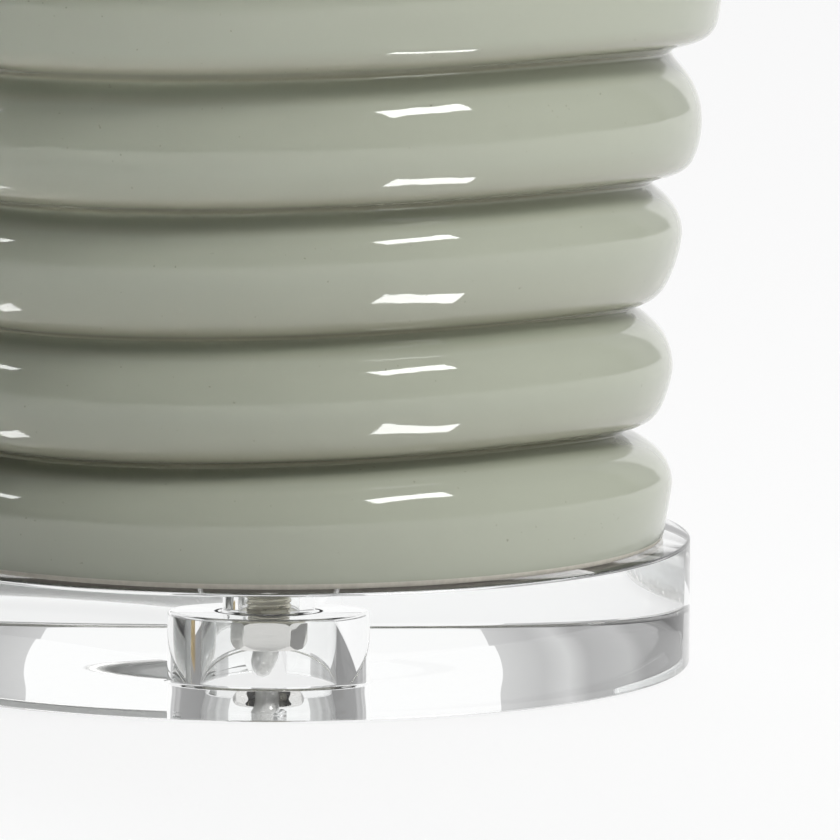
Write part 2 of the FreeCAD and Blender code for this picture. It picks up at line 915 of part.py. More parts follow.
def cone_wall(label, inset, thickness, low, high):
    """A tapered wall of the shade: inset inwards from its outer face, from low to high."""
    low = as_size(low)
    lean = (size.shade_top_radius - size.shade_bottom_radius) / size.shade_height
    outer_low = size.shade_bottom_radius + lean * low - inset
    outer_high = size.shade_bottom_radius + lean * high - inset
    corners = [
        (outer_low - thickness, low),
        (outer_low, low),
        (outer_high, high),
        (outer_high - thickness, high),
    ]
    return turned(label, [(radius, up - low) for radius, up in corners], shade_seat + low)


def shade():
    height = size.shade_height
    linen = size.linen_thickness
    backing = size.backing_thickness
    trim = size.trim_thickness
    cone_wall("shade_linen", trim, linen, 0, height)
    cone_wall("shade_backing", linen + trim, backing, 0, height)
    cone_wall("shade_bottom_trim", 0, trim, 0, size.trim_height)
    cone_wall("shade_top_trim", 0, trim, height - size.trim_height, height)
    inside = trim + linen + backing + size.ring_wire_radius + size.ring_gap
    ring_radius = size.shade_bottom_radius - inside - size.ring_lean_gap
    ring = document.addObject("Part::Torus", "shade_bottom_ring")
    bind(ring, Radius1=ring_radius, Radius2=size.ring_wire_radius)
    place(ring, z=shade_seat + size.ring_wire_radius)
    keep(ring, "shade_bottom_ring")
    return inside


spoke_count = 3
spoke_knee = 0.93  # share of the ring's radius where a spoke turns up to the ring


def spider(inside):
    """The fitter: a washer on the harp's stud, three spokes and the shade's top ring."""
    ring_radius = size.shade_top_radius - inside
    ring_z = shade_top - size.ring_wire_radius
    ring = document.addObject("Part::Torus", "top_ring")
    bind(ring, Radius1=ring_radius, Radius2=size.ring_wire_radius)
    place(ring, z=ring_z)
    hub = turned(
        "fitter_hub",
        [
            (size.stud_radius + size.slip_clearance, 0),
            (size.hub_radius, 0),
            (size.hub_radius, size.hub_thickness),
            (size.stud_radius + size.slip_clearance, size.hub_thickness),
        ],
        hub_seat,
        kept=False,
    )
    spoke_z = (hub_seat + size.hub_thickness / 2).value
    low = vector((size.hub_radius - size.hub_spoke_lap).value, 0, spoke_z)
    high = vector(ring_radius.value, 0, ring_z.value)
    knee = vector(ring_radius.value * spoke_knee, 0, spoke_z)
    path, _ = rounded_path([low, knee, high])
    spoke = swept(path, size.spoke_radius.value)
    spokes = []
    for number in range(spoke_count):
        turned_spoke = document.addObject("Part::Feature", f"spoke_{number + 1}")
        turned_spoke.Shape = spoke
        angle = 90 + 360 / spoke_count * number
        turned_spoke.Placement.Rotation = FreeCAD.Rotation(vector(0, 0, 1), angle)
        spokes.append(turned_spoke)
    fitter = document.addObject("Part::MultiFuse", "spider_fitter")
    fitter.Shapes = [hub, ring] + spokes
    keep(fitter, "spider_fitter")


ball_join_angle = math.radians(-52)  # where the finial's waist meets its ball


def finial():
    """The finial that holds the shade down: a threaded insert in a turned knob."""
    seat = hub_seat + size.hub_thickness + size.finial_gap
    bore = size.stud_radius + size.slip_clearance
    insert = size.finial_insert_radius
    deep = size.finial_insert_height
    tube("finial_insert", bore, insert, deep, seat)
    foot = size.finial_foot_radius.value
    ball = size.finial_ball_radius.value
    high = size.finial_height.value
    inner = insert.value + size.slip_clearance.value
    bottom = (deep + size.finial_bore_spare).value
    centre = vector(0, 0, high - ball)
    join = centre + vector(math.cos(ball_join_angle), 0, math.sin(ball_join_angle)) * ball
    crown = vector(0, 0, high)
    corners = [
        crown,
        vector(0, 0, bottom),
        vector(inner, 0, bottom),
        vector(inner, 0, 0),
        vector(foot, 0, 0),
        vector(foot, 0, size.finial_foot_height.value),
        vector(inner + size.finial_waist_wall.value, 0, size.finial_waist_height.value),
        join,
    ]
    edges = [Part.LineSegment(start, end).toShape() for start, end in zip(corners, corners[1:])]
    edges.append(Part.Arc(join, centre + vector(ball, 0, 0), crown).toShape())
    knob = Part.Face(Part.Wire(edges)).revolve(vector(0, 0, 0), vector(0, 0, 1), 360)
    solid_feature("finial_knob", knob, z=seat)


cord_z = size.cord_radius.value + size.cord_lift.value

# The cord from inside the pipe's lower end, through the recess and the channel, to the coil.
cord_route = [
    (0.0, 0.0, 12.6),
    (0.0, 0.0, 6.9),
    (-1.4, 3.6, cord_z),
    (-1.6, 9.8, cord_z),
    (-0.4, 18.5, cord_z),
    (0.5, 33.0, cord_z),
    (-0.5, 56.0, cord_z),
    (0.3, 86.0, cord_z),
    (-6.0, 110.0, cord_z),
    (-24.0, 129.0, cord_z),
    (-54.0, 138.5, cord_z),
    (-90.0, 139.5, cord_z),
]


def biarc(start, leaving, end, arriving):
    """Two arcs that join two points and keep the direction at both."""
    reach = end - start
    both = leaving + arriving
    square = both.dot(both) - 4
    cross = reach.dot(both)
    leg = (cross - math.sqrt(cross * cross - square * reach.dot(reach))) / square
    first = start + leaving * leg
    last = end - arriving * leg
    joint = (first + last) * 0.5
    return [arc_between(start, first, joint), arc_between(joint, last, end)]


coil_turns = 7.25
coil_stations = 4  # a turn


def coil_path():
    """Two layers of turns: in along the table, up in the half turn at the middle, and out again."""
    pitch = 2 * size.cord_radius.value + size.coil_gap.value
    centre = vector(size.coil_centre_x.value, size.coil_centre_y.value, cord_z)
    middle = coil_turns / 2
    inner = size.coil_inner_radius.value
    lead = 2 * size.cord_radius.value
    stations = []
    steps = round(coil_turns * coil_stations)
    for step in range(steps + 1):
        turn = step / coil_stations
        beyond = turn - middle
        radius = inner + pitch * abs(beyond)
        climb = max(-1.0, min(1.0, beyond * 4))
        height = pitch * (0.5 + 0.5 * math.sin(climb * math.pi / 2))
        angle = math.pi / 2 + 2 * math.pi * turn
        across = vector(math.cos(angle), math.sin(angle))
        round_it = vector(-math.sin(angle), math.cos(angle))
        growth = 0 if step in (0, steps) else math.copysign(pitch / (2 * math.pi), beyond)
        slope = pitch / 2 * math.cos(climb * math.pi / 2)
        direction = round_it * radius + across * growth + vector(0, 0, slope)
        stations.append((centre + across * radius + vector(0, 0, height), direction.normalize()))
    first, leaving = stations[0]
    last, arriving = stations[-1]
    inlet = first - leaving * lead
    outlet = last + arriving * lead
    edges = [Part.LineSegment(inlet, first).toShape()]
    for (start, start_direction), (end, end_direction) in zip(stations, stations[1:]):
        edges += biarc(start, start_direction, end, end_direction)
    edges.append(Part.LineSegment(last, outlet).toShape())
    return Part.Wire(edges), inlet, outlet, arriving


def check_tube(label, shape, path, radius):
    """Compares the tube's volume with its section times its length."""
    expected = math.pi * radius**2 * path.Length
    print(f"{label} length {path.Length:.1f} volume share {shape.Volume / expected:.4f}")


def least_gap(path, radius, apart, step=3.0):
    """The least gap between stretches of a coil that are further than apart along it."""
    points = path.discretize(Distance=step)
    skip = int(apart / step)
    nearest = min(
        (points[i] - points[j]).Length
        for i in range(len(points))
        for j in range(i + skip, len(points))
    )
    return nearest - 2 * radius


split_z = holder_seat + size.pipe_length_in_cap + size.cord_end_above_pipe


def cord():
    """The cord in the pipe, its free run, the coil and the plug."""
    radius = size.cord_radius.value
    riser = document.addObject("Part::Cylinder", "cord_in_pipe")
    riser_start = as_size(cord_route[0][2])
    bind(riser, Radius=size.cord_radius, Height=split_z - riser_start)
    place(riser, z=riser_start)
    keep(riser, "cord_in_pipe")

    path, start, end, heading = coil_path()
    route = cord_route + [(start.x, start.y, start.z)]
    run, radii = rounded_path(route)
    print("cord bend radii", [round(bend, 1) for bend in radii])
    tube_shape = swept(run, radius)
    check_tube("cord_run", tube_shape, run, radius)
    solid_feature("cord_run", tube_shape)
    coil = swept(path, radius)
    check_tube("cord_coil", coil, path, radius)
    half_inner_turn = math.pi * size.coil_inner_radius.value
    print(f"coil least gap {least_gap(path, radius, half_inner_turn):.2f}")
    print(f"free cord {run.Length + path.Length:.0f}")
    solid_feature("cord_coil", coil)
    plug(end, heading)


def plug(seat, heading):
    """The moulded plug at the coil's end, lying on its side with two blades."""
    thick = 2 * (seat.z - size.cord_lift.value)
    wide = size.plug_width.value
    long = size.plug_length.value
    relief = size.plug_relief_length.value
    narrow = (size.cord_radius + size.plug_relief_wall).value
    body = Part.makeBox(wide, thick, long, vector(-wide / 2, -thick / 2, relief))
    upright = [edge for edge in body.Edges if abs(edge.tangentAt(0).z) > 0.9]
    body = body.makeFillet(size.plug_corner_radius.value, upright)
    level = [edge for edge in body.Edges if edge.BoundBox.ZLength < 0.01]
    body = body.makeChamfer(size.plug_edge_chamfer.value, level)
    cone_length = relief + size.plug_relief_lap.value
    cone = Part.makeCone(narrow, size.plug_relief_end_radius.value, cone_length)
    moulding = body.fuse(cone).removeSplitter()
    lying = FreeCAD.Rotation(heading.cross(vector(0, 0, 1)), vector(0, 0, 1), heading, "ZXY")
    placement = FreeCAD.Placement(seat, lying)
    solid_feature("plug_body", moulding, placement=placement)
    across = size.plug_blade_thickness.value
    tall = size.plug_blade_width.value
    out = size.plug_blade_length.value
    for side, name in ((-1, "neutral"), (1, "live")):
        x = (side * size.plug_blade_spacing.value - across) / 2
        blade = Part.makeBox(across, tall, out, vector(x, -tall / 2, relief + long))
        tip = [edge for edge in blade.Edges if edge.BoundBox.ZMin > relief + long + out / 2]
        blade = blade.makeChamfer(size.plug_blade_chamfer.value, tip)
        solid_feature(f"plug_blade_{name}", blade, placement=placement)


def lead_wires():
    """The two split ends of the cord, up to the terminal screws."""
    gap = size.lead_gap.value
    start = split_z.value
    apart = size.lead_radius.value + gap
    out = size.holder_core_radius.value + apart
    bend = (core_seat - size.lead_bend_drop).value
    tip = (terminal_z - size.terminal_screw_radius).value - gap
    leads = []
    for side in (-1, 1):
        points = [
            (side * apart, 0, start),
            (side * apart, 0, start + size.lead_straight.value),
            (side * out, 0, bend),
            (side * out, 0, tip),
        ]
        path, _ = rounded_path(points)
        leads.append(swept(path, size.lead_radius.value))
    solid_feature("lead_wires", Part.makeCompound(leads))


base_disc()
tube(
    "lock_washer",
    size.pipe_radius + size.slip_clearance,
    size.washer_radius,
    size.washer_thickness,
    washer_seat,
)
hex_nut("base_nut", nut_seat)
threaded_pipe()
jar_body()
jar_bush()
neck_cap()
harp_saddle()
harp()
harp_sleeves()
lamp_holder()
switch_knob()
lead_wires()
bulb()
spider(shade())
finial()
cord()

document.recompute()

faults = [item.Name for item in document.Objects if {"Invalid", "Error"} & set(item.State)]
for piece in sub_parts:
    if piece.Shape.isNull() or not piece.Shape.isValid() or not piece.Shape.Solids:
        faults.append(piece.Label)
if faults:
    raise RuntimeError(f"these did not build: {faults}")

os.makedirs("parts", exist_ok=True)
for piece in sub_parts:
    piece.Shape.exportStep(f"parts/{piece.Label}.step")
    box = piece.Shape.optimalBoundingBox()
    print(
        f"{piece.Label}: {len(piece.Shape.Solids)} solid(s), {piece.Shape.Volume:.0f} mm3,"
        f" x {box.XMin:.1f} {box.XMax:.1f} y {box.YMin:.1f} {box.YMax:.1f} z {box.ZMin:.2f} {box.ZMax:.2f}"
    )
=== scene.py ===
import bpy
import math
import numpy as np
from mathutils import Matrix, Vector


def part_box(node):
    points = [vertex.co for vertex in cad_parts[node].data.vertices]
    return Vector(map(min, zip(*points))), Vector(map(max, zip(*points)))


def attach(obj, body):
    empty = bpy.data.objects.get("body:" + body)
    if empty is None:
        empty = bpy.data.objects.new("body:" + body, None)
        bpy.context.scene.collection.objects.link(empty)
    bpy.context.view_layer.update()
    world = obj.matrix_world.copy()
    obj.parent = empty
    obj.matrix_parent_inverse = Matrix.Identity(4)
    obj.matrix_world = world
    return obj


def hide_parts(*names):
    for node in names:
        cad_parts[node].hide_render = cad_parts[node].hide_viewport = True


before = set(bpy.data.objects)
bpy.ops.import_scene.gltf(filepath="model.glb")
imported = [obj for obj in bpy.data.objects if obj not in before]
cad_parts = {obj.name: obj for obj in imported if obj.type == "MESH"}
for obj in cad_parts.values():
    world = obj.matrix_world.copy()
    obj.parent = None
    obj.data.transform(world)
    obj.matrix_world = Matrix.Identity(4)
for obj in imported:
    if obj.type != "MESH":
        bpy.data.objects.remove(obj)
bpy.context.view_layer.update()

# Ribbed ginger jar lamp on a clear acrylic disc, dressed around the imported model. Metres, +Z up.
scene = bpy.context.scene
scene.view_settings.view_transform = "Standard"
mm = 0.001
whole = 2 * math.pi


def low(node):
    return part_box(node)[0]


def high(node):
    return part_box(node)[1]


# Modelling helpers

def deselectAll():
    if bpy.context.mode != "OBJECT":
        bpy.ops.object.mode_set(mode="OBJECT")
    bpy.ops.object.select_all(action="DESELECT")


def pick(piece):
    deselectAll()
    piece.select_set(True)
    bpy.context.view_layer.objects.active = piece


def finishMesh(piece, angle):
    pick(piece)
    bpy.ops.object.transform_apply(location=True, rotation=True, scale=True)
    bpy.ops.object.shade_smooth_by_angle(angle=math.radians(angle))


def tidyMesh(piece):
    pick(piece)
    bpy.ops.object.mode_set(mode="EDIT")
    bpy.ops.mesh.select_all(action="SELECT")
    bpy.ops.mesh.remove_doubles(threshold=1e-6)
    bpy.ops.mesh.normals_make_consistent(inside=False)
    bpy.ops.object.mode_set(mode="OBJECT")


def applyModifier(piece, kind, **settings):
    pick(piece)
    bpy.ops.object.modifier_add(type=kind)
    modifier = piece.modifiers[-1]
    for name, value in settings.items():
        setattr(modifier, name, value)
    bpy.ops.object.modifier_apply(modifier=modifier.name)


def join(pieces, name):
    deselectAll()
    for piece in pieces:
        piece.select_set(True)
    bpy.context.view_layer.objects.active = pieces[0]
    bpy.ops.object.join()
    pieces[0].name = name
    return pieces[0]


def drawOutline(name, outline, closed=False):
    # one corner pulled out into a line, corner by corner: (distance from the axis, height)
    deselectAll()
    bpy.ops.mesh.primitive_plane_add(size=0.01)
    piece = bpy.context.object
    piece.name = name
    bpy.ops.object.mode_set(mode="EDIT")
    bpy.ops.mesh.merge(type="CENTER")
    bpy.ops.transform.translate(value=(outline[0][0], 0, outline[0][1]))
    corners = list(outline) + ([outline[0]] if closed else [])
    for here, there in zip(corners, corners[1:]):
        step = (there[0] - here[0], 0, there[1] - here[1])
        bpy.ops.mesh.extrude_region_move(TRANSFORM_OT_translate={"value": step})
    bpy.ops.mesh.select_all(action="SELECT")
    bpy.ops.mesh.remove_doubles(threshold=2e-7)
    bpy.ops.object.mode_set(mode="OBJECT")
    return piece


def spinRound(piece, steps):
    pick(piece)
    bpy.ops.object.mode_set(mode="EDIT")
    bpy.ops.mesh.select_all(action="SELECT")
    bpy.ops.mesh.spin(steps=steps, angle=whole, center=(0, 0, 0), axis=(0, 0, 1))
    bpy.ops.object.mode_set(mode="OBJECT")
    tidyMesh(piece)
    return piece


def rounded(corners, radius, steps=4):
    # an outline whose corners are rounded off
    points = []
    count = len(corners)
    for number, corner in enumerate(corners):
        here = Vector(corner)
        before = Vector(corners[number - 1]) - here
        after = Vector(corners[(number + 1) % count]) - here
        cut = min(radius, before.length * 0.45, after.length * 0.45)
        start = here + before.normalized() * cut
        end = here + after.normalized() * cut
        for step in range(steps + 1):
            t = step / steps
            points.append(tuple(start * (1 - t) ** 2 + here * 2 * t * (1 - t) + end * t * t))
    return points


# Material helpers

def freshMaterial(name):
    material = bpy.data.materials.new(name)
    material.use_nodes = True
    tree = material.node_tree
    return material, tree.nodes, tree.links, tree.nodes["Principled BSDF"]


def noiseOn(nodes, links, scale, detail, stretch=(1, 1, 1), source="Object", roughness=0.5):
    coordinates = nodes.new("ShaderNodeTexCoord")
    mapping = nodes.new("ShaderNodeMapping")
    mapping.inputs["Scale"].default_value = stretch
    texture = nodes.new("ShaderNodeTexNoise")
    texture.inputs["Scale"].default_value = scale
    texture.inputs["Detail"].default_value = detail
    texture.inputs["Roughness"].default_value = roughness
    links.new(coordinates.outputs[source], mapping.inputs["Vector"])
    links.new(mapping.outputs["Vector"], texture.inputs["Vector"])
    return texture.outputs["Fac"]


def colourRamp(nodes, links, source, stops):
    ramp = nodes.new("ShaderNodeValToRGB")
    while len(ramp.color_ramp.elements) < len(stops):
        ramp.color_ramp.elements.new(0.5)
    for element, (place, colour) in zip(ramp.color_ramp.elements, stops):
        element.position = place
        element.color = (*colour, 1)
    links.new(source, ramp.inputs["Fac"])
    return ramp.outputs["Color"]


def mapRange(nodes, links, source, fromLow, fromHigh, toLow, toHigh):
    node = nodes.new("ShaderNodeMapRange")
    for name, value in (("From Min", fromLow), ("From Max", fromHigh), ("To Min", toLow), ("To Max", toHigh)):
        node.inputs[name].default_value = value
    links.new(source, node.inputs["Value"])
    return node.outputs["Result"]


def mathNode(nodes, links, operation, first, second=None):
    node = nodes.new("ShaderNodeMath")
    node.operation = operation
    for socket, value in zip(node.inputs, (first, second)):
        if isinstance(value, bpy.types.NodeSocket):
            links.new(value, socket)
        elif value is not None:
            socket.default_value = value
    return node.outputs["Value"]


def bumpFrom(nodes, links, shader, source, distance, strength):
    bump = nodes.new("ShaderNodeBump")
    bump.inputs["Strength"].default_value = strength
    bump.inputs["Distance"].default_value = distance
    links.new(source, bump.inputs["Height"])
    links.new(bump.outputs["Normal"], shader.inputs["Normal"])


def mixColours(nodes, links, share, first, second):
    mix = nodes.new("ShaderNodeMix")
    mix.data_type = "RGBA"
    for socket, value in ((mix.inputs["Factor"], share), (mix.inputs["A"], first), (mix.inputs["B"], second)):
        if isinstance(value, bpy.types.NodeSocket):
            links.new(value, socket)
        elif socket.type == "RGBA":
            socket.default_value = (*value, 1)
        else:
            socket.default_value = value
    return mix.outputs["Result"]


def dress(node, material):
    # a CAD node keeps its mesh and takes a better finish
    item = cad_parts[node]
    if not item.material_slots:
        item.data.materials.append(material)
    for materialSlot in item.material_slots:
        materialSlot.link = "OBJECT"
        materialSlot.material = material


def addPiece(piece, body, material, slot, *nodes):
    piece.data.materials.clear()
    piece.data.materials.append(material)
    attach(piece, body)
    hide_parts(*nodes)


# Camera

photoCamera = {
    "frameWidth": 0.1772,            # what the picture takes in, at the lamp's axis
    "lookAt": (0.0318, 0.0, 0.0509),
    "distance": 2.70,
    "height": 0.405,
    "roll": 0.25,
    "sensor": 36.0,
}


def placeCamera():
    target = Vector(photoCamera["lookAt"])
    spot = Vector((target.x, -photoCamera["distance"], photoCamera["height"]))
    turn = (target - spot).to_track_quat("-Z", "Y").to_euler()
    bpy.ops.object.camera_add(location=spot, rotation=turn)
    camera = bpy.context.object
    camera.rotation_euler.rotate_axis("Z", math.radians(photoCamera["roll"]))
    camera.data.sensor_width = photoCamera["sensor"]
    camera.data.lens = photoCamera["sensor"] * (target - spot).length / photoCamera["frameWidth"]
    camera.data.clip_end = 300
    scene.camera = camera


placeCamera()
print("camera placed")


# Cord: from the pipe's lower end, through the recess and the channel, to the coil behind the lamp

cordFacts = {
    "radius": 2.8 * mm,
    "route": [
        (0.0, 0.0, 12.6),
        (0.0, 0.0, 6.9),
        (-1.4, 3.6, 3.0),
        (-1.6, 9.8, 3.0),
        (-0.4, 18.5, 3.0),
        (0.5, 33.0, 3.0),
        (-0.5, 56.0, 3.0),
        (0.3, 86.0, 3.0),
        (-6.0, 110.0, 3.0),
        (-24.0, 129.0, 3.0),
        (-54.0, 138.5, 3.0),
        (-90.0, 139.5, 3.0),
        (-120.4, 134.5, 3.0),
    ],
    "coilCentre": (-126.0, 90.0, 3.0),
    "innerRadius": 22.4,
    "pitch": 6.1,
    "turns": 7.25,
    "pointsPerTurn": 16,
    "lead": 5.6,
    "length": 1.776,
}


def coilPoints():
    facts = cordFacts
    x, y, z = facts["coilCentre"]
    steps = round(facts["turns"] * facts["pointsPerTurn"])
    points = []
    for step in range(steps + 1):
        turn = step / facts["pointsPerTurn"]
        beyond = turn - facts["turns"] / 2
        radius = facts["innerRadius"] + facts["pitch"] * abs(beyond)
        climb = max(-1.0, min(1.0, beyond * 4))
        up = facts["pitch"] * (0.5 + 0.5 * math.sin(climb * math.pi / 2))
        angle = math.pi / 2 + whole * turn
        points.append((x + radius * math.cos(angle), y + radius * math.sin(angle), z + up))
    last = points[-1]
    points.append((last[0], last[1] - facts["lead"], last[2]))
    return points


def makeCord():
    points = [Vector(point) * mm for point in cordFacts["route"] + coilPoints()]
    curve = bpy.data.curves.new("cord", "CURVE")
    curve.dimensions = "3D"
    spline = curve.splines.new("NURBS")
    spline.points.add(len(points) - 1)
    for knot, point in zip(spline.points, points):
        knot.co = (*point, 1)
    spline.order_u = 3
    spline.use_endpoint_u = True
    spline.resolution_u = 8
    curve.bevel_depth = cordFacts["radius"]
    curve.bevel_resolution = 4
    curve.use_fill_caps = True
    curve.twist_mode = "Z_UP"
    cord = bpy.data.objects.new("cord", curve)
    scene.collection.objects.link(cord)
    return cord


cord = makeCord()
print("cord laid")


# Floor, light and backdrop

studio = {
    "floorSize": 160.0,
    "airUnder": 0.0004,        # thin air gap that makes the disc's underside a mirror
    "floorWhite": (0.90, 0.90, 0.90),
    "ambient": (0.95, 0.97, 1.0),
    "ambientLeft": 0.08,       # how bright the room is on each side, as soft light on the lamp
    "ambientRight": 0.74,
    "flagTop": 74.0,           # degrees up and down that the room's dark side covers
    "flagBottom": -1.0,
    # degrees round from straight behind the lamp, and how grey the room is there
    "glossGreys": [(28.0, 0.45), (33.0, 0.40), (47.0, 0.36), (49.0, 0.12), (180.0, 0.08)],
    "glassGreys": [
        (23.0, 0.62), (29.0, 0.50), (33.0, 0.62), (37.0, 0.40), (47.0, 0.46), (52.0, 0.30), (180.0, 0.15),
    ],
}
# the softbox and its mirror image in the table, which give the two rows of highlights, and the fills
lamps = [
    # name, degrees right of the camera, degrees up, distance, width, height, watts, whether gloss shows it
    ("upperSoftbox", 50.0, 45.0, 2.2, 0.82, 0.38, 15.0, True),
    ("tableGlint", 52.0, -43.0, 2.2, 0.82, 0.25, 8.5, True),     # the same softbox, mirrored in the table
    ("frontFill", 45.0, 4.0, 2.2, 0.90, 0.30, 7.0, False),
    ("leftSoftbox", -93.0, 34.0, 2.4, 0.36, 0.22, 2.4, True),
    ("leftGlint", -94.0, -40.0, 2.4, 0.36, 0.22, 2.0, True),
    ("broadRight", 62.0, 40.0, 3.2, 3.0, 2.4, 48.0, False),
    ("backFill", 165.0, 50.0, 3.2, 2.6, 1.6, 26.0, True),
]


tableLight = {"place": (-0.62, -0.62, 1.1), "size": 0.5, "spread": 50.0, "watts": 40.0}
# how far the table looks plain white, seen straight and through clear pieces
seenWhite = {"camera": 0.8, "through": 0.84}


def seenDirectly(nodes, links):
    # 1 for rays that look at the backdrop: from the camera, a mirror or through glass
    path = nodes.new("ShaderNodeLightPath")
    total = path.outputs["Is Camera Ray"]
    for name in ("Is Glossy Ray", "Is Transmission Ray"):
        total = mathNode(nodes, links, "MAXIMUM", total, path.outputs[name])
    return total


def makeWorld():
    world = bpy.data.worlds.new("studio")
    world.use_nodes = True
    scene.world = world
    nodes = world.node_tree.nodes
    links = world.node_tree.links
    light = nodes["Background"]
    light.inputs["Color"].default_value = (*studio["ambient"], 1)
    coordinates = nodes.new("ShaderNodeTexCoord")
    split = nodes.new("ShaderNodeSeparateXYZ")
    links.new(coordinates.outputs["Generated"], split.inputs["Vector"])
    side = mapRange(nodes, links, split.outputs["X"], -0.3, 1, studio["ambientLeft"], studio["ambientRight"])
    links.new(side, light.inputs["Strength"])
    white = nodes.new("ShaderNodeBackground")
    white.inputs["Color"].default_value = (1, 1, 1, 1)
    white.inputs["Strength"].default_value = 1.0
    mix = nodes.new("ShaderNodeMixShader")
    links.new(seenDirectly(nodes, links), mix.inputs["Fac"])
    links.new(light.outputs["Background"], mix.inputs[1])
    links.new(white.outputs["Background"], mix.inputs[2])
    links.new(mix.outputs["Shader"], nodes["World Output"].inputs["Surface"])


def makeFloor():
    deselectAll()
    bpy.ops.mesh.primitive_plane_add(size=studio["floorSize"], location=(0, 0, -studio["airUnder"]))
    floor = bpy.context.object
    floor.name = "floor"
    material, nodes, links, shader = freshMaterial("table_white")
    shader.inputs["Base Color"].default_value = (*studio["floorWhite"], 1)
    shader.inputs["Roughness"].default_value = 0.7
    glow = nodes.new("ShaderNodeEmission")
    glow.inputs["Color"].default_value = (1, 1, 1, 1)
    glow.inputs["Strength"].default_value = 1.0
    path = nodes.new("ShaderNodeLightPath")
    share = mapRange(nodes, links, path.outputs["Is Camera Ray"], 0, 1, 0, seenWhite["camera"])
    through = mapRange(nodes, links, path.outputs["Is Transmission Ray"], 0, 1, 0, seenWhite["through"])
    mix = nodes.new("ShaderNodeMixShader")
    links.new(mathNode(nodes, links, "MAXIMUM", share, through), mix.inputs["Fac"])
    links.new(shader.outputs["BSDF"], mix.inputs[1])
    links.new(glow.outputs["Emission"], mix.inputs[2])
    links.new(mix.outputs["Shader"], nodes["Material Output"].inputs["Surface"])
    floor.data.materials.append(material)
    floor.visible_glossy = False       # gloss sees the white room, and the softbox mirrored in the table


def makeFlag(name, radius, greys, glossy):
    # the dark side of the studio, which only mirrors or only clear pieces see
    foot = radius * math.tan(math.radians(studio["flagBottom"])) + 0.13
    top = radius * math.tan(math.radians(studio["flagTop"]))
    deselectAll()
    bpy.ops.mesh.primitive_plane_add(size=0.01)
    flag = bpy.context.object
    flag.name = name
    bpy.ops.object.mode_set(mode="EDIT")
    bpy.ops.mesh.merge(type="CENTER")
    start = math.radians(90 - greys[0][0])
    reach = whole - 2 * math.radians(greys[0][0])
    bpy.ops.transform.translate(value=(radius * math.cos(start), radius * math.sin(start), foot))
    bpy.ops.mesh.extrude_region_move(TRANSFORM_OT_translate={"value": (0, 0, top - foot)})
    bpy.ops.mesh.select_all(action="SELECT")
    bpy.ops.mesh.spin(steps=48, angle=reach, center=(0, 0, 0), axis=(0, 0, 1))
    bpy.ops.object.mode_set(mode="OBJECT")
    material, nodes, links = freshMaterial(name)[:3]
    place = nodes.new("ShaderNodeTexCoord")
    split = nodes.new("ShaderNodeSeparateXYZ")
    links.new(place.outputs["Object"], split.inputs["Vector"])
    wide = mathNode(nodes, links, "ABSOLUTE", split.outputs["X"])
    turn = mathNode(nodes, links, "ARCTAN2", wide, split.outputs["Y"])
    share = mapRange(nodes, links, turn, 0, math.pi, 0, 1)
    shades = colourRamp(nodes, links, share, [(angle / 180, (grey,) * 3) for angle, grey in greys])
    glow = nodes.new("ShaderNodeEmission")
    links.new(shades, glow.inputs["Color"])
    links.new(glow.outputs["Emission"], nodes["Material Output"].inputs["Surface"])
    flag.data.materials.append(material)
    flag.visible_camera = False
    flag.visible_diffuse = False
    flag.visible_shadow = False
    flag.visible_glossy = glossy
    flag.visible_transmission = not glossy


def makeLamps():
    aim = Vector((0, 0, 0.12))
    for name, right, up, distance, width, height, watts, shows in lamps:
        side = math.radians(right)
        rise = math.radians(up)
        direction = Vector((
            math.sin(side) * math.cos(rise),
            -math.cos(side) * math.cos(rise),
            math.sin(rise),
        ))
        spot = aim + direction * distance
        bpy.ops.object.light_add(type="AREA", location=spot)
        lamp = bpy.context.object
        lamp.name = name
        lamp.rotation_euler = direction.to_track_quat("Z", "Y").to_euler()
        lamp.data.shape = "RECTANGLE"
        lamp.data.size = width
        lamp.data.size_y = height
        lamp.data.energy = watts
        lamp.visible_camera = False
        lamp.visible_transmission = False
        lamp.visible_glossy = shows


def makeTableLight():
    # a narrow lamp over the table in front at the left, which only its bounce brings to the jar
    bpy.ops.object.light_add(type="AREA", location=tableLight["place"])
    lamp = bpy.context.object
    lamp.name = "table_light"
    lamp.data.shape = "DISK"
    lamp.data.size = tableLight["size"]
    lamp.data.spread = math.radians(tableLight["spread"])
    lamp.data.energy = tableLight["watts"]
    lamp.visible_camera = False
    lamp.visible_glossy = False
    lamp.visible_transmission = False


makeWorld()
makeFloor()
makeTableLight()
makeFlag("dark_side_gloss", 7.0, studio["glossGreys"], True)
makeFlag("dark_side_glass", 7.2, studio["glassGreys"], False)
makeLamps()
print("studio built")


# Finishes

acrylicLook = {"colour": (0.985, 0.992, 0.99), "bend": 1.49}


def acrylicMaterial():
    material, nodes, links, shader = freshMaterial("clear_acrylic")
    shader.inputs["Base Color"].default_value = (*acrylicLook["colour"], 1)
    shader.inputs["Transmission Weight"].default_value = 1.0
    shader.inputs["IOR"].default_value = acrylicLook["bend"]
    scuffs = noiseOn(nodes, links, 60, 6, roughness=0.6)
    links.new(mapRange(nodes, links, scuffs, 0.5, 0.8, 0.0, 0.02), shader.inputs["Roughness"])
    clear = nodes.new("ShaderNodeBsdfTransparent")
    clear.inputs["Color"].default_value = (0.93, 0.95, 0.95, 1)
    path = nodes.new("ShaderNodeLightPath")
    mix = nodes.new("ShaderNodeMixShader")
    links.new(path.outputs["Is Shadow Ray"], mix.inputs["Fac"])
    links.new(shader.outputs["BSDF"], mix.inputs[1])
    links.new(clear.outputs["BSDF"], mix.inputs[2])
    links.new(mix.outputs["Shader"], nodes["Material Output"].inputs["Surface"])
    return material


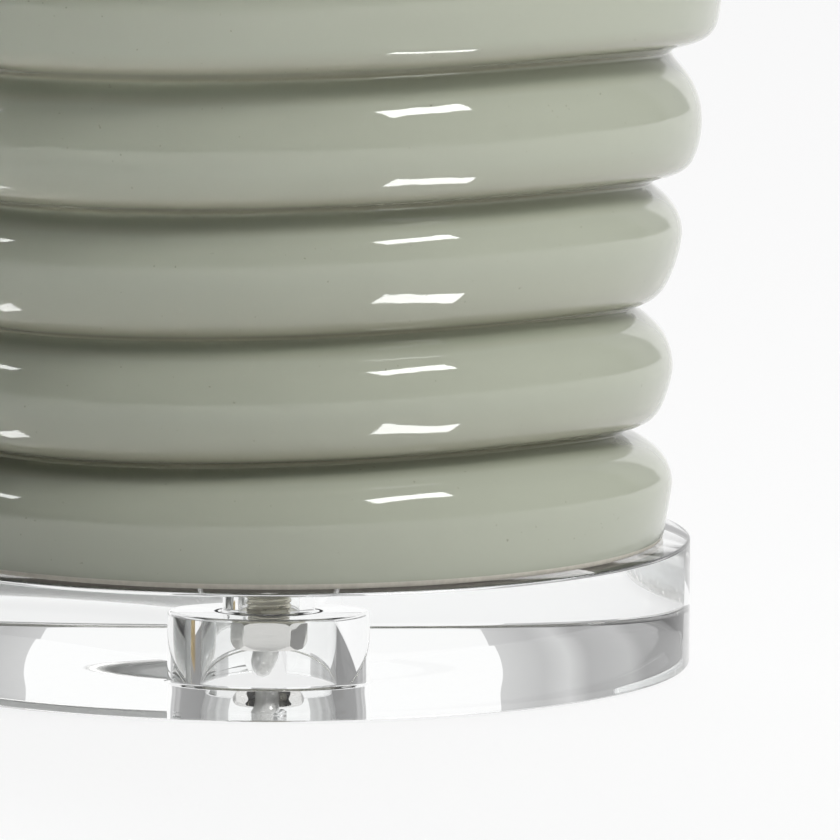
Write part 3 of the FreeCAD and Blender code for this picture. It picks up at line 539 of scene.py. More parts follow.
glazeLook = {
    # thick is the pooled glaze in the grooves, darkened further as painted shade in the creases
    "thick": (0.185, 0.195, 0.138),
    "middle": (0.235, 0.250, 0.190),
    "thin": (0.330, 0.345, 0.278),
    "paintedUnderBounce": (0.29, 0.25, 0.18),
    "speck": (0.10, 0.085, 0.06),
}


def glazeMaterial():
    material, nodes, links, shader = freshMaterial("celadon_glaze")
    depth = nodes.new("ShaderNodeAttribute")
    depth.attribute_name = "poolAndShadeDepth"
    cloud = noiseOn(nodes, links, 18, 5, stretch=(1, 1, 2.2))
    wander = mapRange(nodes, links, cloud, 0.2, 0.8, -0.12, 0.12)
    uneven = mathNode(nodes, links, "ADD", depth.outputs["Fac"], wander)
    # darker and more olive towards each groove: pooled glaze, with painted shade in the creases on top
    body = colourRamp(nodes, links, uneven, [
        (0.10, glazeLook["thin"]), (0.58, glazeLook["middle"]), (0.98, glazeLook["thick"]),
    ])
    normal = nodes.new("ShaderNodeNewGeometry")
    split = nodes.new("ShaderNodeSeparateXYZ")
    links.new(normal.outputs["Normal"], split.inputs["Vector"])
    # faces turned downward are tinted warm: painted bounce light from the table
    under = mapRange(nodes, links, split.outputs["Z"], -0.8, -0.2, 0.35, 0.0)
    tinted = mixColours(nodes, links, under, body, glazeLook["paintedUnderBounce"])
    specks = noiseOn(nodes, links, 900, 1.0)
    speckShare = mapRange(nodes, links, specks, 0.77, 0.82, 0.0, 0.4)
    links.new(mixColours(nodes, links, speckShare, tinted, glazeLook["speck"]), shader.inputs["Base Color"])
    sheen = noiseOn(nodes, links, 40, 3)
    links.new(mapRange(nodes, links, sheen, 0.3, 0.7, 0.02, 0.05), shader.inputs["Roughness"])
    shader.inputs["IOR"].default_value = 1.55
    ripple = noiseOn(nodes, links, 60, 2, stretch=(1, 1, 2.5))
    bumpFrom(nodes, links, shader, ripple, 0.0005, 0.25)
    return material


def bisqueMaterial():
    material, nodes, links, shader = freshMaterial("bare_clay")
    grain = noiseOn(nodes, links, 700, 6)
    links.new(colourRamp(nodes, links, grain, [
        (0.3, (0.46, 0.43, 0.37)), (0.7, (0.54, 0.51, 0.44)),
    ]), shader.inputs["Base Color"])
    shader.inputs["Roughness"].default_value = 0.85
    bumpFrom(nodes, links, shader, grain, 0.0002, 0.6)
    return material


def metalMaterial(name, colour, darker, roughLow, roughHigh, scale=120):
    material, nodes, links, shader = freshMaterial(name)
    grain = noiseOn(nodes, links, scale, 5, stretch=(1, 1, 8))
    links.new(colourRamp(nodes, links, grain, [(0.3, darker), (0.7, colour)]), shader.inputs["Base Color"])
    shader.inputs["Metallic"].default_value = 1.0
    links.new(mapRange(nodes, links, grain, 0.3, 0.7, roughLow, roughHigh), shader.inputs["Roughness"])
    bumpFrom(nodes, links, shader, grain, 0.00002, 0.4)
    return material


def plainMaterial(name, colour, darker, roughLow, roughHigh, scale=300, bump=0.00005, sheen=0.0):
    material, nodes, links, shader = freshMaterial(name)
    grain = noiseOn(nodes, links, scale, 5)
    links.new(colourRamp(nodes, links, grain, [(0.3, darker), (0.7, colour)]), shader.inputs["Base Color"])
    links.new(mapRange(nodes, links, grain, 0.3, 0.7, roughLow, roughHigh), shader.inputs["Roughness"])
    shader.inputs["Sheen Weight"].default_value = sheen
    bumpFrom(nodes, links, shader, grain, bump, 0.5)
    return material


acrylic = acrylicMaterial()
glaze = glazeMaterial()
bisque = bisqueMaterial()
nickel = metalMaterial("nickel_plate", (0.78, 0.77, 0.75), (0.70, 0.69, 0.67), 0.08, 0.16)
zinc = metalMaterial("zinc_thread", (0.62, 0.60, 0.50), (0.40, 0.38, 0.30), 0.22, 0.36, 300)
brass = metalMaterial("plain_brass", (0.80, 0.62, 0.30), (0.66, 0.49, 0.22), 0.18, 0.32)
rolled = metalMaterial("rolled_aluminium", (0.80, 0.80, 0.79), (0.66, 0.66, 0.65), 0.25, 0.4)
rubber = plainMaterial("black_rubber", (0.045, 0.044, 0.043), (0.02, 0.02, 0.02), 0.6, 0.8)
felt = plainMaterial("wool_felt", (0.72, 0.70, 0.66), (0.5, 0.48, 0.45), 0.9, 1.0, 1500, 0.0003, 0.5)
paper = plainMaterial("pressed_paper", (0.72, 0.66, 0.54), (0.60, 0.54, 0.42), 0.7, 0.9, 800)
bakelite = plainMaterial("moulded_core", (0.035, 0.03, 0.027), (0.018, 0.016, 0.015), 0.3, 0.45)
knobBlack = plainMaterial("knob_black", (0.028, 0.028, 0.029), (0.015, 0.015, 0.015), 0.28, 0.42, 700)
enamel = plainMaterial("white_enamel", (0.86, 0.86, 0.84), (0.78, 0.78, 0.76), 0.25, 0.4, 200)
frosted = plainMaterial("frosted_glass", (0.88, 0.88, 0.865), (0.85, 0.85, 0.835), 0.30, 0.38, 25, 0.00001)
liner = plainMaterial("white_styrene", (0.88, 0.87, 0.84), (0.82, 0.81, 0.78), 0.45, 0.6, 90)
leadClear = plainMaterial("lead_insulation", (0.74, 0.75, 0.74), (0.55, 0.56, 0.56), 0.3, 0.45, 400)
print("finishes mixed")


# Clear disc

discFacts = {
    "edge": 0.7 * mm, "around": 256, "recess": 14.3 * mm, "bore": 6.5 * mm,
    "channelWidth": 9.4 * mm, "channelHeight": 7.0 * mm, "channelBevel": 2.3 * mm,
}


def makeDisc():
    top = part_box("acrylic_base")[1]
    rim = top.x
    recess, bore = discFacts["recess"], discFacts["bore"]
    deep = high("lock_washer").z
    outline = rounded([
        (recess, 0.0), (rim, 0.0), (rim, top.z), (bore, top.z), (bore, deep), (recess, deep),
    ], discFacts["edge"])
    disc = spinRound(drawOutline("clear_disc", outline, closed=True), discFacts["around"])
    deselectAll()
    past = 10 * mm               # how far the cutter reaches past the rim
    bpy.ops.mesh.primitive_cube_add(size=1, location=(0, rim / 2 + past, 0))
    cutter = bpy.context.object
    cutter.scale = (discFacts["channelWidth"], rim + 2 * past, discFacts["channelHeight"] * 2)
    bpy.ops.object.transform_apply(location=True, rotation=True, scale=True)
    applyModifier(cutter, "BEVEL", width=discFacts["channelBevel"], segments=4, limit_method="ANGLE")
    applyModifier(disc, "BOOLEAN", object=cutter, operation="DIFFERENCE", solver="EXACT")
    bpy.data.objects.remove(cutter)
    finishMesh(disc, 30)
    addPiece(disc, "lamp_body", acrylic, "acrylic", "acrylic_base")


# Nut and threaded pipe

threadFacts = {
    "pitch": 0.94 * mm, "rootGap": 0.42 * mm, "around": 32, "bore": 3.5 * mm, "plainEnd": 0.5 * mm,
}


def makeThread(name, radius, bottom, top, pitch, depth, around):
    # one turn of ridge, repeated by a screw modifier
    outline = [
        (radius - depth, -pitch * 0.44),
        (radius - depth * 0.12, -pitch * 0.09),
        (radius, 0.0),
        (radius - depth * 0.12, pitch * 0.09),
        (radius - depth, pitch * 0.44),
    ]
    ridge = drawOutline(name, [(x, y + bottom) for x, y in outline])
    turns = int((top - bottom) / pitch)
    applyModifier(
        ridge, "SCREW", angle=whole, screw_offset=pitch, iterations=turns,
        steps=around, render_steps=around, use_merge_vertices=True, merge_threshold=1e-6,
    )
    return ridge


def makePipe():
    bottom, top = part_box("threaded_pipe")
    radius = top.x
    bore = threadFacts["bore"]
    root = radius - threadFacts["rootGap"]
    edge = threadFacts["plainEnd"]
    core = spinRound(drawOutline("pipe_core", [
        (bore, bottom.z), (root, bottom.z), (root, top.z), (bore, top.z),
    ], closed=True), threadFacts["around"])
    depth = threadFacts["rootGap"] * 1.15
    ridge = makeThread(
        "pipe_thread", radius, bottom.z + edge, top.z - edge, threadFacts["pitch"], depth,
        threadFacts["around"],
    )
    pipe = join([core, ridge], "threaded_tube")
    finishMesh(pipe, 40)
    addPiece(pipe, "lamp_body", zinc, "thread", "threaded_pipe")


nutFacts = {
    "acrossFlats": 14.3 * mm, "chamfer": 1.1 * mm, "turn": 28.0, "bore": 4.9 * mm, "edge": 0.18 * mm,
}


def makeNut():
    bottom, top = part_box("base_nut")
    height = top.z - bottom.z
    corner = nutFacts["acrossFlats"] / math.sqrt(3)
    deselectAll()
    middle = (bottom.z + top.z) / 2
    bpy.ops.mesh.primitive_cylinder_add(vertices=6, radius=corner, depth=height, location=(0, 0, middle))
    nut = bpy.context.object
    nut.name = "hex_nut"
    nut.rotation_euler.z = math.radians(nutFacts["turn"])
    bpy.ops.object.transform_apply(location=True, rotation=True, scale=True)
    flat = nutFacts["acrossFlats"] / 2
    blank = spinRound(drawOutline("nut_blank", [
        (0, bottom.z - 0.0001), (flat, bottom.z - 0.0001), (flat * 1.01, bottom.z),
        (corner * 1.01, bottom.z + nutFacts["chamfer"]), (corner * 1.01, top.z - nutFacts["chamfer"]),
        (flat * 1.01, top.z), (flat, top.z + 0.0001), (0, top.z + 0.0001),
    ]), 96)
    applyModifier(nut, "BOOLEAN", object=blank, operation="INTERSECT", solver="EXACT")
    bore = spinRound(drawOutline("nut_bore", [
        (0, bottom.z - 0.001), (nutFacts["bore"], bottom.z - 0.001), (nutFacts["bore"], top.z + 0.001),
        (0, top.z + 0.001),
    ]), 64)
    applyModifier(nut, "BOOLEAN", object=bore, operation="DIFFERENCE", solver="EXACT")
    for tool in (blank, bore):
        bpy.data.objects.remove(tool)
    applyModifier(
        nut, "BEVEL", width=nutFacts["edge"], segments=2, limit_method="ANGLE", angle_limit=math.radians(25),
    )
    finishMesh(nut, 30)
    addPiece(nut, "lamp_body", nickel, "nickel", "base_nut")


# Jar

jarFacts = {
    # outside of the ribs that start at the foot, bottom to top: distance from the axis and height
    "lowerRibs": [
        (82.4, 26.52), (83.0, 26.8), (83.4, 27.7), (83.7, 29.6), (84.1, 32.0), (84.5, 34.5), (84.8, 36.8),
        (85.05, 39.0), (84.9, 41.0), (84.3, 43.0), (83.2, 45.0), (81.7, 46.7), (79.8, 48.1), (77.7, 49.2),
        (75.9, 50.0), (74.9, 50.7), (75.4, 51.4), (77.1, 52.0), (79.0, 52.6), (80.7, 53.5), (82.1, 54.9),
        (83.2, 56.8), (84.1, 59.2), (84.8, 61.6), (85.2, 63.8), (85.2, 65.6), (84.9, 67.4), (84.3, 69.3),
        (83.4, 71.1), (82.1, 72.8), (80.5, 74.3), (78.9, 75.6), (77.6, 76.6), (77.3, 77.3), (78.2, 77.9),
        (79.8, 78.5), (81.3, 79.4), (82.7, 80.8), (83.9, 82.8), (85.0, 85.4), (85.9, 88.3), (86.5, 91.0),
        (86.7, 93.3), (86.4, 95.4), (85.7, 97.3), (84.6, 99.0), (83.3, 100.5), (81.8, 101.8), (80.7, 102.9),
        (80.5, 103.7), (81.7, 104.5), (83.6, 105.1), (85.8, 105.8), (87.5, 106.7), (88.7, 107.9),
        (89.5, 109.5), (90.3, 111.8), (90.8, 114.4), (90.9, 117.0), (90.7, 119.4), (90.2, 121.6),
        (89.4, 123.7), (88.3, 125.7), (87.0, 127.4), (85.6, 129.0), (84.6, 130.4), (84.4, 131.3),
        (85.6, 132.1), (87.8, 132.9), (90.3, 133.7), (92.2, 134.7), (93.3, 135.9), (94.0, 137.3),
        (94.4, 139.0), (94.7, 141.0), (95.0, 143.4), (95.2, 146.0), (95.1, 148.6), (94.6, 151.2),
        (93.6, 153.8), (92.2, 156.0), (90.9, 157.6),
    ],
    # the grooves above them, and how far and where along its height each rib stands out
    "grooves": [
        (90.0, 159.0), (95.4, 185.5), (102.0, 213.3), (108.0, 240.0), (110.6, 267.8), (107.6, 294.6),
        (98.2, 319.8), (81.9, 339.6), (62.7, 350.4), (45.0, 354.5),
    ],
    "upperRibs": [(7.9, 0.9), (7.3, 1.25), (7.6, 0.8), (7.4, 1.1), (7.2, 1.0), (7.2, 1.15), (6.6, 1.0),
                  (5.6, 1.0), (4.6, 1.0)],
    # along the rib from its lower groove, and out from the line between its grooves
    "ribShape": [
        (0.03, 0.10), (0.05, 0.32), (0.075, 0.58), (0.115, 0.78), (0.18, 0.91), (0.27, 0.985),
        (0.37, 1.00), (0.48, 0.95), (0.59, 0.80), (0.69, 0.58), (0.78, 0.36), (0.87, 0.17), (0.95, 0.04),
    ],
    "guide": [(73.8, 21.0), (84.8, 103.3), (98.5, 172.0), (110.5, 238.0), (96.0, 297.0), (45.0, 328.0)],
    "neckRadius": 45.0,
    "lip": 3.4,
    "wall": 7.0,
    "floor": 9.0,
    "floorHole": 12.0,
    "footRecess": 2.0,
    "footInside": 72.9,
    "footOutside": 81.4,
    "lowerGrooves": [(74.9, 50.7), (77.3, 77.3), (80.5, 103.7), (84.4, 131.3)],
    "poolAndShadeReach": 7.0,        # how far from a groove the pooled glaze and its painted shade fade out
    "around": 214,
    "bareFoot": 1.5,
    "lean": 1.15,             # the ribs run a little downhill to the left at the front
    "leanFades": (27.0, 48.0, 150.0, 300.0),
    "wobble": 0.22,
    "rightDip": 1.7,          # and dip a little at the right-hand side
}


def smoothLine(knots, steps):
    # a rounded line through every knot, after Catmull and Rom
    points = [Vector(knot) for knot in knots]
    points = [points[0] * 2 - points[1]] + points + [points[-1] * 2 - points[-2]]
    result = []
    for before, here, there, after in zip(points, points[1:], points[2:], points[3:]):
        gaps = [max((b - a).length, 1e-9) ** 0.5 for a, b in ((before, here), (here, there), (there, after))]
        first, second, third = gaps
        slopeHere = (here - before) / first - (there - before) / (first + second) + (there - here) / second
        slopeThere = (there - here) / second - (after - here) / (second + third) + (after - there) / third
        slopeHere, slopeThere = slopeHere * second, slopeThere * second
        for step in range(steps):
            t = step / steps
            result.append(
                here * (2 * t**3 - 3 * t * t + 1) + slopeHere * (t**3 - 2 * t * t + t)
                + there * (3 * t * t - 2 * t**3) + slopeThere * (t**3 - t * t)
            )
    return result + [points[-2]]


def ribLine():
    facts = jarFacts
    line = list(facts["lowerRibs"])
    for number, (depth, skew) in enumerate(facts["upperRibs"]):
        lowEnd, highEnd = Vector(facts["grooves"][number]), Vector(facts["grooves"][number + 1])
        along = highEnd - lowEnd
        outward = Vector((along.y, -along.x)).normalized()
        line.append(tuple(lowEnd))
        for share, out in facts["ribShape"]:
            line.append(tuple(lowEnd + along * share ** (1 / skew) + outward * depth * out))
    line.append(facts["grooves"][-1])
    return smoothLine(line, 2)


def makeJar():
    facts = jarFacts
    seat = low("jar_body").z / mm
    top = high("jar_body").z / mm
    neck, lip, wall = facts["neckRadius"], facts["lip"], facts["wall"]
    outline = ribLine()
    for angle in range(0, 181, 20):
        turn = math.radians(angle)
        outline.append(Vector((neck + math.sin(turn) * lip, top - lip - math.cos(turn) * lip)))
    outline.append(Vector((neck - wall, top)))
    inside = smoothLine([(x - wall, y + seat) for x, y in facts["guide"]], 5)
    outline += list(reversed(inside))
    hole, floor, recess = facts["floorHole"], seat + facts["floor"], seat + facts["footRecess"]
    for x, y in (
        (inside[0].x, floor + 3), (inside[0].x - 3, floor), (hole, floor), (hole, recess),
        (facts["footInside"] - 1, recess), (facts["footInside"], recess - 1),
        (facts["footInside"], seat + 0.6), (facts["footInside"] + 0.6, seat + 0.02),
        (facts["footOutside"], seat + 0.02),
    ):
        outline.append(Vector((x, y)))
    corners = [tuple(point * mm) for point in outline]
    jar = spinRound(drawOutline("ribbed_jar", corners, closed=True), facts["around"])
    shapeJar(jar)
    finishMesh(jar, 50)
    addPiece(jar, "lamp_body", glaze, "glaze", "jar_body")
    jar.data.materials.append(bisque)
    bareTop = (seat + facts["bareFoot"]) * mm
    for face in jar.data.polygons:
        if face.center.z < bareTop:
            face.material_index = 1


def shapeJar(jar):
    # how deep the glaze pools in the grooves, with painted shade darkening them too, then the small unevenness of
    # a hand-turned pot
    facts = jarFacts
    mesh = jar.data
    places = np.empty(len(mesh.vertices) * 3)
    mesh.vertices.foreach_get("co", places)
    places = places.reshape(-1, 3)
    radius = np.hypot(places[:, 0], places[:, 1])
    creases = np.array(facts["lowerGrooves"] + facts["grooves"]) * mm
    reach = np.min(np.hypot(
        radius[:, None] - creases[None, :, 0], places[:, 2][:, None] - creases[None, :, 1]), axis=1)
    depth = mesh.attributes.new("poolAndShadeDepth", "FLOAT", "POINT")
    depth.data.foreach_set("value", np.clip(1 - reach / (facts["poolAndShadeReach"] * mm), 0, 1) ** 1.2)
    fades = np.array(facts["leanFades"]) * mm
    share = np.interp(places[:, 2], fades, [0.0, 1.0, 1.0, 0.0])
    reached = np.maximum(radius, 0.01)
    places[:, 2] -= facts["lean"] * mm * share * 2 * places[:, 0] * places[:, 1] / reached ** 2
    right = np.clip(places[:, 0] / reached, 0, 1)
    places[:, 2] -= facts["rightDip"] * mm * share * right ** 8
    angle = np.arctan2(places[:, 1], places[:, 0])
    level = places[:, 2] / mm / 28.0
    wave = np.sin(angle * 2 + level * 2.3) * 0.5 + np.sin(angle * 3 - level * 3.9 + 1.0) * 0.3
    swell = 1 + facts["wobble"] * mm * wave * share / reached
    places[:, :2] *= swell[:, None]
    mesh.vertices.foreach_set("co", places.ravel())
    mesh.update()


makeDisc()
makePipe()
makeNut()
makeJar()
print("jar and disc built")


# Cord finish, plug and its strain relief

def cordMaterial():
    material, nodes, links, shader = freshMaterial("clear_silver_cord")
    coordinates = nodes.new("ShaderNodeTexCoord")
    split = nodes.new("ShaderNodeSeparateXYZ")
    links.new(coordinates.outputs["UV"], split.inputs["Vector"])
    # two silver conductors, seen along the two sides of the clear cord
    wave = mathNode(nodes, links, "SINE", mathNode(nodes, links, "MULTIPLY", split.outputs["Y"], 4 * math.pi))
    strands = noiseOn(nodes, links, 900, 3)
    silver = colourRamp(nodes, links, strands, [(0.35, (0.52, 0.52, 0.50)), (0.65, (0.80, 0.80, 0.78))])
    share = mapRange(nodes, links, wave, -0.5, 0.2, 0.0, 1.0)
    links.new(mixColours(nodes, links, share, (0.88, 0.89, 0.88), silver), shader.inputs["Base Color"])
    links.new(mapRange(nodes, links, share, 0, 1, 0.0, 0.55), shader.inputs["Metallic"])
    links.new(mapRange(nodes, links, strands, 0.3, 0.7, 0.16, 0.30), shader.inputs["Roughness"])
    shader.inputs["Coat Weight"].default_value = 0.8
    shader.inputs["Coat Roughness"].default_value = 0.06
    bumpFrom(nodes, links, shader, strands, 0.0001, 0.3)
    return material


plugFacts = {
    "bodyLength": 28.0 * mm, "bodyTaper": 0.86, "waist": 0.10, "edge": 2.4 * mm,
    "ridges": 5, "ridgeThick": 1.3 * mm, "ridgeRound": 0.5 * mm,
    "reliefRadius": 6.2 * mm, "lap": 1.0 * mm, "rings": 6, "ringDepth": 0.45 * mm,
}


def makePlug():
    bottom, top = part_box("plug_body")
    middle = (bottom + top) / 2
    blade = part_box("plug_blade_live")
    bodyFront = blade[1].y
    reliefStart = bodyFront + plugFacts["bodyLength"]
    reliefEnd = top.y
    deselectAll()
    bodyMiddle = (bodyFront + reliefStart) / 2
    bpy.ops.mesh.primitive_cube_add(size=1, location=(middle.x, bodyMiddle, middle.z))
    body = bpy.context.object
    body.name = "moulded_plug"
    body.scale = (top.x - bottom.x, reliefStart - bodyFront, top.z - bottom.z)
    bpy.ops.object.transform_apply(location=True, rotation=True, scale=True)
    bpy.ops.object.mode_set(mode="EDIT")
    bpy.ops.mesh.subdivide(number_cuts=5)
    bpy.ops.object.mode_set(mode="OBJECT")
    length = reliefStart - bodyFront
    for vertex in body.data.vertices:
        share = (vertex.co.y - bodyFront) / length
        narrow = 1 - (1 - plugFacts["bodyTaper"]) * share ** 2
        waist = 1 - plugFacts["waist"] * math.sin(math.pi * min(1, max(0, (share - 0.25) / 0.6))) ** 2
        vertex.co.x = middle.x + (vertex.co.x - middle.x) * narrow * waist
        vertex.co.z = middle.z + (vertex.co.z - middle.z) * (narrow if share > 0.3 else 1)
    applyModifier(body, "BEVEL", width=plugFacts["edge"], segments=4, limit_method="ANGLE")
    # grip ridges across the top and the bottom
    ridges = []
    for number in range(plugFacts["ridges"]):
        deselectAll()
        y = bodyFront + length * (0.36 + 0.11 * number)
        width = (top.x - bottom.x) * 0.44
        bpy.ops.mesh.primitive_cube_add(size=1, location=(middle.x, y, middle.z))
        ridge = bpy.context.object
        ridge.scale = (width, plugFacts["ridgeThick"], (top.z - bottom.z) * 0.985)
        bpy.ops.object.transform_apply(location=True, rotation=True, scale=True)
        applyModifier(ridge, "BEVEL", width=plugFacts["ridgeRound"], segments=3)
        ridges.append(ridge)
    # tapered strain relief with rings, turned about the cord's axis
    reliefRadius, lap = plugFacts["reliefRadius"], plugFacts["lap"]
    endRadius = cordFacts["radius"] + 0.75 * mm
    reach = reliefEnd - reliefStart + lap
    outline = [(0.0, 0.0), (reliefRadius, 0.0)]
    rings = plugFacts["rings"]
    for number in range(rings):
        for part, dip in ((0.08, 0.0), (0.45, 0.0), (0.55, 1.0), (0.90, 1.0)):
            share = (number + part) / rings
            radius = reliefRadius + (endRadius - reliefRadius) * share
            outline.append((radius - plugFacts["ringDepth"] * dip, reach * share))
    outline += [(endRadius, reach), (cordFacts["radius"] + 0.15 * mm, reach), (0.0, reach - lap)]
    relief = spinRound(drawOutline("strain_relief", outline), 40)
    pick(relief)
    relief.rotation_euler = (math.radians(-90), 0, 0)
    cordPlace = coilPoints()[-1]
    relief.location = (cordPlace[0] * mm, reliefStart - lap, cordPlace[2] * mm)
    bpy.ops.object.transform_apply(location=True, rotation=True, scale=True)
    plug = join([body] + ridges + [relief], "moulded_plug")
    finishMesh(plug, 35)
    addPiece(plug, "lamp_body", plugSilver, "plug", "plug_body")


# Switch knob with its grip flutes

knobFacts = {
    "bore": 1.85 * mm, "boreDepth": 3.0 * mm, "dish": 0.5 * mm, "grip": 4.4 * mm, "easing": 1.2 * mm,
    "flutes": 24, "fluteDepth": 0.32 * mm, "round": 0.7 * mm, "around": 192,
}


def makeKnob():
    bottom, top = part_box("switch_knob")
    radius = top.x
    length = top.y - bottom.y
    bore, boreDepth, dish = knobFacts["bore"], knobFacts["boreDepth"], knobFacts["dish"]
    outline = rounded([
        (bore, 0.0), (radius - 1.6 * mm, 0.0), (radius - 1.2 * mm, 2.0 * mm), (radius, 4.0 * mm),
        (radius, length), (radius * 0.55, length), (radius * 0.45, length - dish),
        (0.8 * mm, length - dish), (0.0, length - 0.45 * mm), (0.0, length - boreDepth),
        (bore, length - boreDepth),
    ], knobFacts["round"], 3)
    knob = spinRound(drawOutline("fluted_knob", outline, closed=True), knobFacts["around"])
    for vertex in knob.data.vertices:
        x, y, z = vertex.co
        reach = math.hypot(x, y)
        if reach > radius * 0.93 and z > knobFacts["grip"]:
            angle = math.atan2(y, x)
            flute = max(0.0, math.cos(knobFacts["flutes"] * angle)) ** 0.8
            easing = min(1.0, (z - knobFacts["grip"]) / knobFacts["easing"])
            scale = 1 - knobFacts["fluteDepth"] * flute * easing / reach
            vertex.co.x, vertex.co.y = x * scale, y * scale
    pick(knob)
    knob.rotation_euler = (math.radians(90), 0, 0)
    knob.location = (0, top.y, (bottom.z + top.z) / 2)
    bpy.ops.object.transform_apply(location=True, rotation=True, scale=True)
    tidyMesh(knob)
    finishMesh(knob, 30)
    addPiece(knob, "switch", knobBlack, "knob", "switch_knob")


# Rolled threads of the bulb's cap and of the screw shell

rolledThread = {
    "pitch": 3.6286 * mm, "depth": 0.34 * mm, "around": 96, "wall": 0.42 * mm, "step": 0.30 * mm,
    "fade": 1.5 * mm, "capOpening": 4.2 * mm, "shellOpening": 3.2 * mm,
}


def rollThread(piece, inner, start, end):
    # a wave wound round the walls that lie further out than the radius given
    pitch, depth, fade = rolledThread["pitch"], rolledThread["depth"], rolledThread["fade"]
    mesh = piece.data
    places = np.empty(len(mesh.vertices) * 3)
    mesh.vertices.foreach_get("co", places)
    places = places.reshape(-1, 3)
    radius = np.hypot(places[:, 0], places[:, 1])
    angle = np.arctan2(places[:, 1], places[:, 0])
    share = np.clip((places[:, 2] - start) / fade, 0, 1) * np.clip((end - places[:, 2]) / fade, 0, 1)
    share *= radius > inner
    change = depth * share * np.cos(whole * places[:, 2] / pitch - angle)
    places[:, :2] *= ((radius + change) / np.maximum(radius, 1e-6))[:, None]
    mesh.vertices.foreach_set("co", places.ravel())
    mesh.update()


def upTheWall(radius, start, end):
    steps = max(1, round(abs(end - start) / rolledThread["step"]))
    return [(radius, start + (end - start) * step / steps) for step in range(steps + 1)]


def makeBulbCap():
    bottom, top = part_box("bulb_cap")
    radius = top.x - rolledThread["depth"]
    wall = rolledThread["wall"]
    opening = rolledThread["capOpening"]
    outline = [(opening, bottom.z), (radius - 3.2 * mm, bottom.z), (radius - 0.5 * mm, bottom.z + 2.4 * mm)]
    outline += upTheWall(radius, bottom.z + 3.0 * mm, top.z)
    outline += upTheWall(radius - wall, top.z, bottom.z + 3.2 * mm)
    outline += [(radius - 3.4 * mm, bottom.z + wall), (opening, bottom.z + wall)]
    cap = spinRound(drawOutline("rolled_bulb_cap", outline, closed=True), rolledThread["around"])
    rollThread(cap, radius - 2 * wall, bottom.z + 3.4 * mm, top.z - 4.0 * mm)
    finishMesh(cap, 50)
    addPiece(cap, "bulb", rolled, "cap_metal", "bulb_cap")


def makeScrewShell():
    bottom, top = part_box("screw_shell")
    outside = top.x - rolledThread["depth"]
    inside = outside - rolledThread["wall"] * 0.6
    opening = rolledThread["shellOpening"]
    outline = upTheWall(inside, top.z, bottom.z + 0.8 * mm)
    outline += [(inside - 0.6 * mm, bottom.z + 0.3 * mm), (opening, bottom.z + 0.3 * mm), (opening, bottom.z)]
    outline += [(outside - 0.3 * mm, bottom.z)]
    outline += upTheWall(outside, bottom.z + 0.6 * mm, top.z)
    shell = spinRound(drawOutline("rolled_screw_shell", outline, closed=True), rolledThread["around"])
    rollThread(shell, inside - rolledThread["wall"], bottom.z + 2.0 * mm, top.z - 2.0 * mm)
    finishMesh(shell, 50)
    addPiece(shell, "lamp_body", brass, "brass", "screw_shell")


# Linen shade: the cloth on its liner, and the folded tapes along both edges

linenFacts = {
    "bottomRadius": 190.5 * mm, "topRadius": 165.0 * mm, "tape": 0.7 * mm, "cloth": 0.8 * mm,
    "tapeHeight": 9.0 * mm, "around": 180, "thread": 0.85 * mm,
    # light is the colour of the thread tops, dark the painted shade in the gaps between threads
    "light": (0.79, 0.75, 0.67), "dark": (0.50, 0.46, 0.38),
}


def linenMaterial(name, thread, light, dark, slub):
    material, nodes, links, shader = freshMaterial(name)
    coordinates = nodes.new("ShaderNodeTexCoord")
    split = nodes.new("ShaderNodeSeparateXYZ")
    links.new(coordinates.outputs["UV"], split.inputs["Vector"])
    heights = []
    for axis in ("X", "Y"):
        # each set of threads, thick and thin along its length
        phase = mathNode(nodes, links, "MULTIPLY", split.outputs[axis], math.pi / thread)
        size = mathNode(nodes, links, "ABSOLUTE", mathNode(nodes, links, "SINE", phase))
        stretch = (620, 14, 1) if axis == "X" else (14, 620, 1)
        slubs = noiseOn(nodes, links, 1.0, 3, stretch=stretch, source="UV")
        thick = mapRange(nodes, links, slubs, 0.3, 0.75, 0.55, 1.0 + slub)
        heights.append(mathNode(nodes, links, "MULTIPLY", size, thick))
    # over and under, one thread at a time
    checker = nodes.new("ShaderNodeTexChecker")
    checker.inputs["Scale"].default_value = 1 / thread
    links.new(coordinates.outputs["UV"], checker.inputs["Vector"])
    over = nodes.new("ShaderNodeMix")
    links.new(checker.outputs["Fac"], over.inputs["Factor"])
    links.new(heights[0], over.inputs["A"])
    links.new(heights[1], over.inputs["B"])
    height = over.outputs["Result"]
    # the threads' colour runs darker down into the gaps between them: painted shade, beside the bump
    links.new(colourRamp(nodes, links, height, [(0.05, dark), (0.75, light)]), shader.inputs["Base Color"])
    shader.inputs["Roughness"].default_value = 0.92
    shader.inputs["Sheen Weight"].default_value = 0.25
    bumpFrom(nodes, links, shader, height, 0.00025, 0.9)
    return material


def unwrapRound(piece):
    # metres along the cloth: round the shade, and up it
    mesh = piece.data
    layer = mesh.uv_layers.new(name="cloth")
    for face in mesh.polygons:
        middle = math.atan2(face.center.y, face.center.x)
        for corner in face.loop_indices:
            x, y, z = mesh.vertices[mesh.loops[corner].vertex_index].co
            angle = math.atan2(y, x)
            if angle - middle > math.pi:
                angle -= whole
            elif middle - angle > math.pi:
                angle += whole
            layer.data[corner].uv = (angle * linenFacts["bottomRadius"], z)


def coneAt(height, inset, seat):
    facts = linenFacts
    rise = high("shade_linen").z - low("shade_linen").z
    share = (height - seat) / rise
    return facts["bottomRadius"] + (facts["topRadius"] - facts["bottomRadius"]) * share - inset


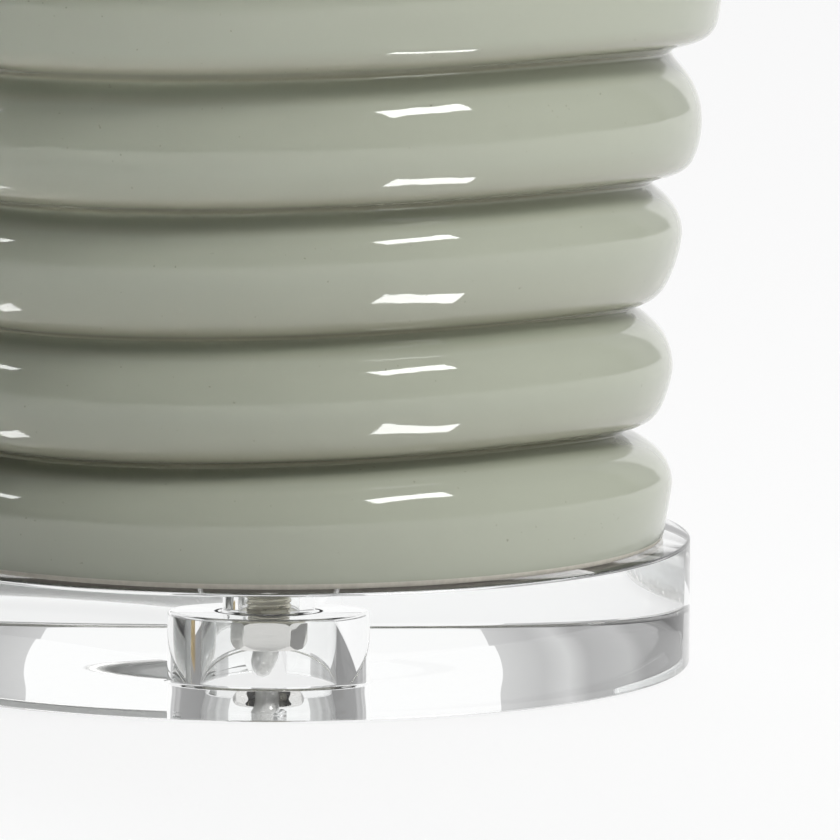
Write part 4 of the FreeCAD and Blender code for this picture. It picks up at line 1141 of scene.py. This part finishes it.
def makeShade():
    facts = linenFacts
    seat, top = low("shade_linen").z, high("shade_linen").z
    levels = [seat + (top - seat) * step / 12 for step in range(13)]
    outline = [(coneAt(z, facts["tape"], seat), z) for z in levels]
    outline += [(coneAt(z, facts["tape"] + facts["cloth"], seat), z) for z in reversed(levels)]
    cloth = spinRound(drawOutline("linen_cloth", outline, closed=True), facts["around"])
    unwrapRound(cloth)
    finishMesh(cloth, 50)
    addPiece(cloth, "shade", linen, "linen", "shade_linen")
    for name, node, start in (
        ("bottom_tape", "shade_bottom_trim", seat),
        ("top_tape", "shade_top_trim", top - facts["tapeHeight"]),
    ):
        end = start + facts["tapeHeight"]
        fold = 0.25 * mm
        tape = [
            (coneAt(start, facts["tape"], seat), start), (coneAt(start, 0.12 * mm, seat), start),
            (coneAt(start, 0, seat), start + fold), (coneAt(start + 1.4 * mm, 0.16 * mm, seat), start + 1.4 * mm),
            (coneAt(start + 1.9 * mm, 0.02 * mm, seat), start + 1.9 * mm),
            (coneAt(end - 1.9 * mm, 0.02 * mm, seat), end - 1.9 * mm),
            (coneAt(end - 1.4 * mm, 0.16 * mm, seat), end - 1.4 * mm), (coneAt(end, 0, seat), end - fold),
            (coneAt(end, 0.12 * mm, seat), end), (coneAt(end, facts["tape"], seat), end),
        ]
        band = spinRound(drawOutline(name, tape, closed=True), facts["around"])
        unwrapRound(band)
        finishMesh(band, 40)
        addPiece(band, "shade", tapeLinen, "linen", node)


linen = linenMaterial("natural_linen", linenFacts["thread"], linenFacts["light"], linenFacts["dark"], 0.6)
tapeLinen = linenMaterial("linen_tape", linenFacts["thread"] * 0.7, (0.75, 0.71, 0.63), (0.56, 0.52, 0.44), 0.2)
cordLook = cordMaterial()
plugSilver = plainMaterial("plug_vinyl", (0.66, 0.67, 0.66), (0.56, 0.57, 0.56), 0.32, 0.45, 500)
makeKnob()
makeBulbCap()
makeScrewShell()
makeShade()
makePlug()
print("switch, bulb, shade and plug built")

for node, material in {
    "lock_washer": zinc, "jar_floor_bush": rubber, "cap_gasket": felt, "neck_cap": nickel,
    "neck_spacer": nickel, "harp_saddle": nickel, "harp": nickel, "harp_stud": nickel,
    "harp_sleeve_left": nickel, "harp_sleeve_right": nickel, "holder_cap": nickel, "holder_shell": nickel,
    "holder_liner": paper, "holder_core": bakelite, "centre_contact": brass, "terminal_screws": brass,
    "switch_shaft": brass, "lead_wires": leadClear, "bulb_tip": bakelite, "bulb_glass": frosted,
    "shade_backing": liner, "shade_bottom_ring": enamel, "spider_fitter": nickel, "finial_insert": brass,
    "finial_knob": nickel, "cord_in_pipe": leadClear, "plug_blade_neutral": brass, "plug_blade_live": brass,
}.items():
    dress(node, material)

addPiece(cord, "lamp_body", cordLook, "cord", "cord_run", "cord_coil")

print("all pieces in place")
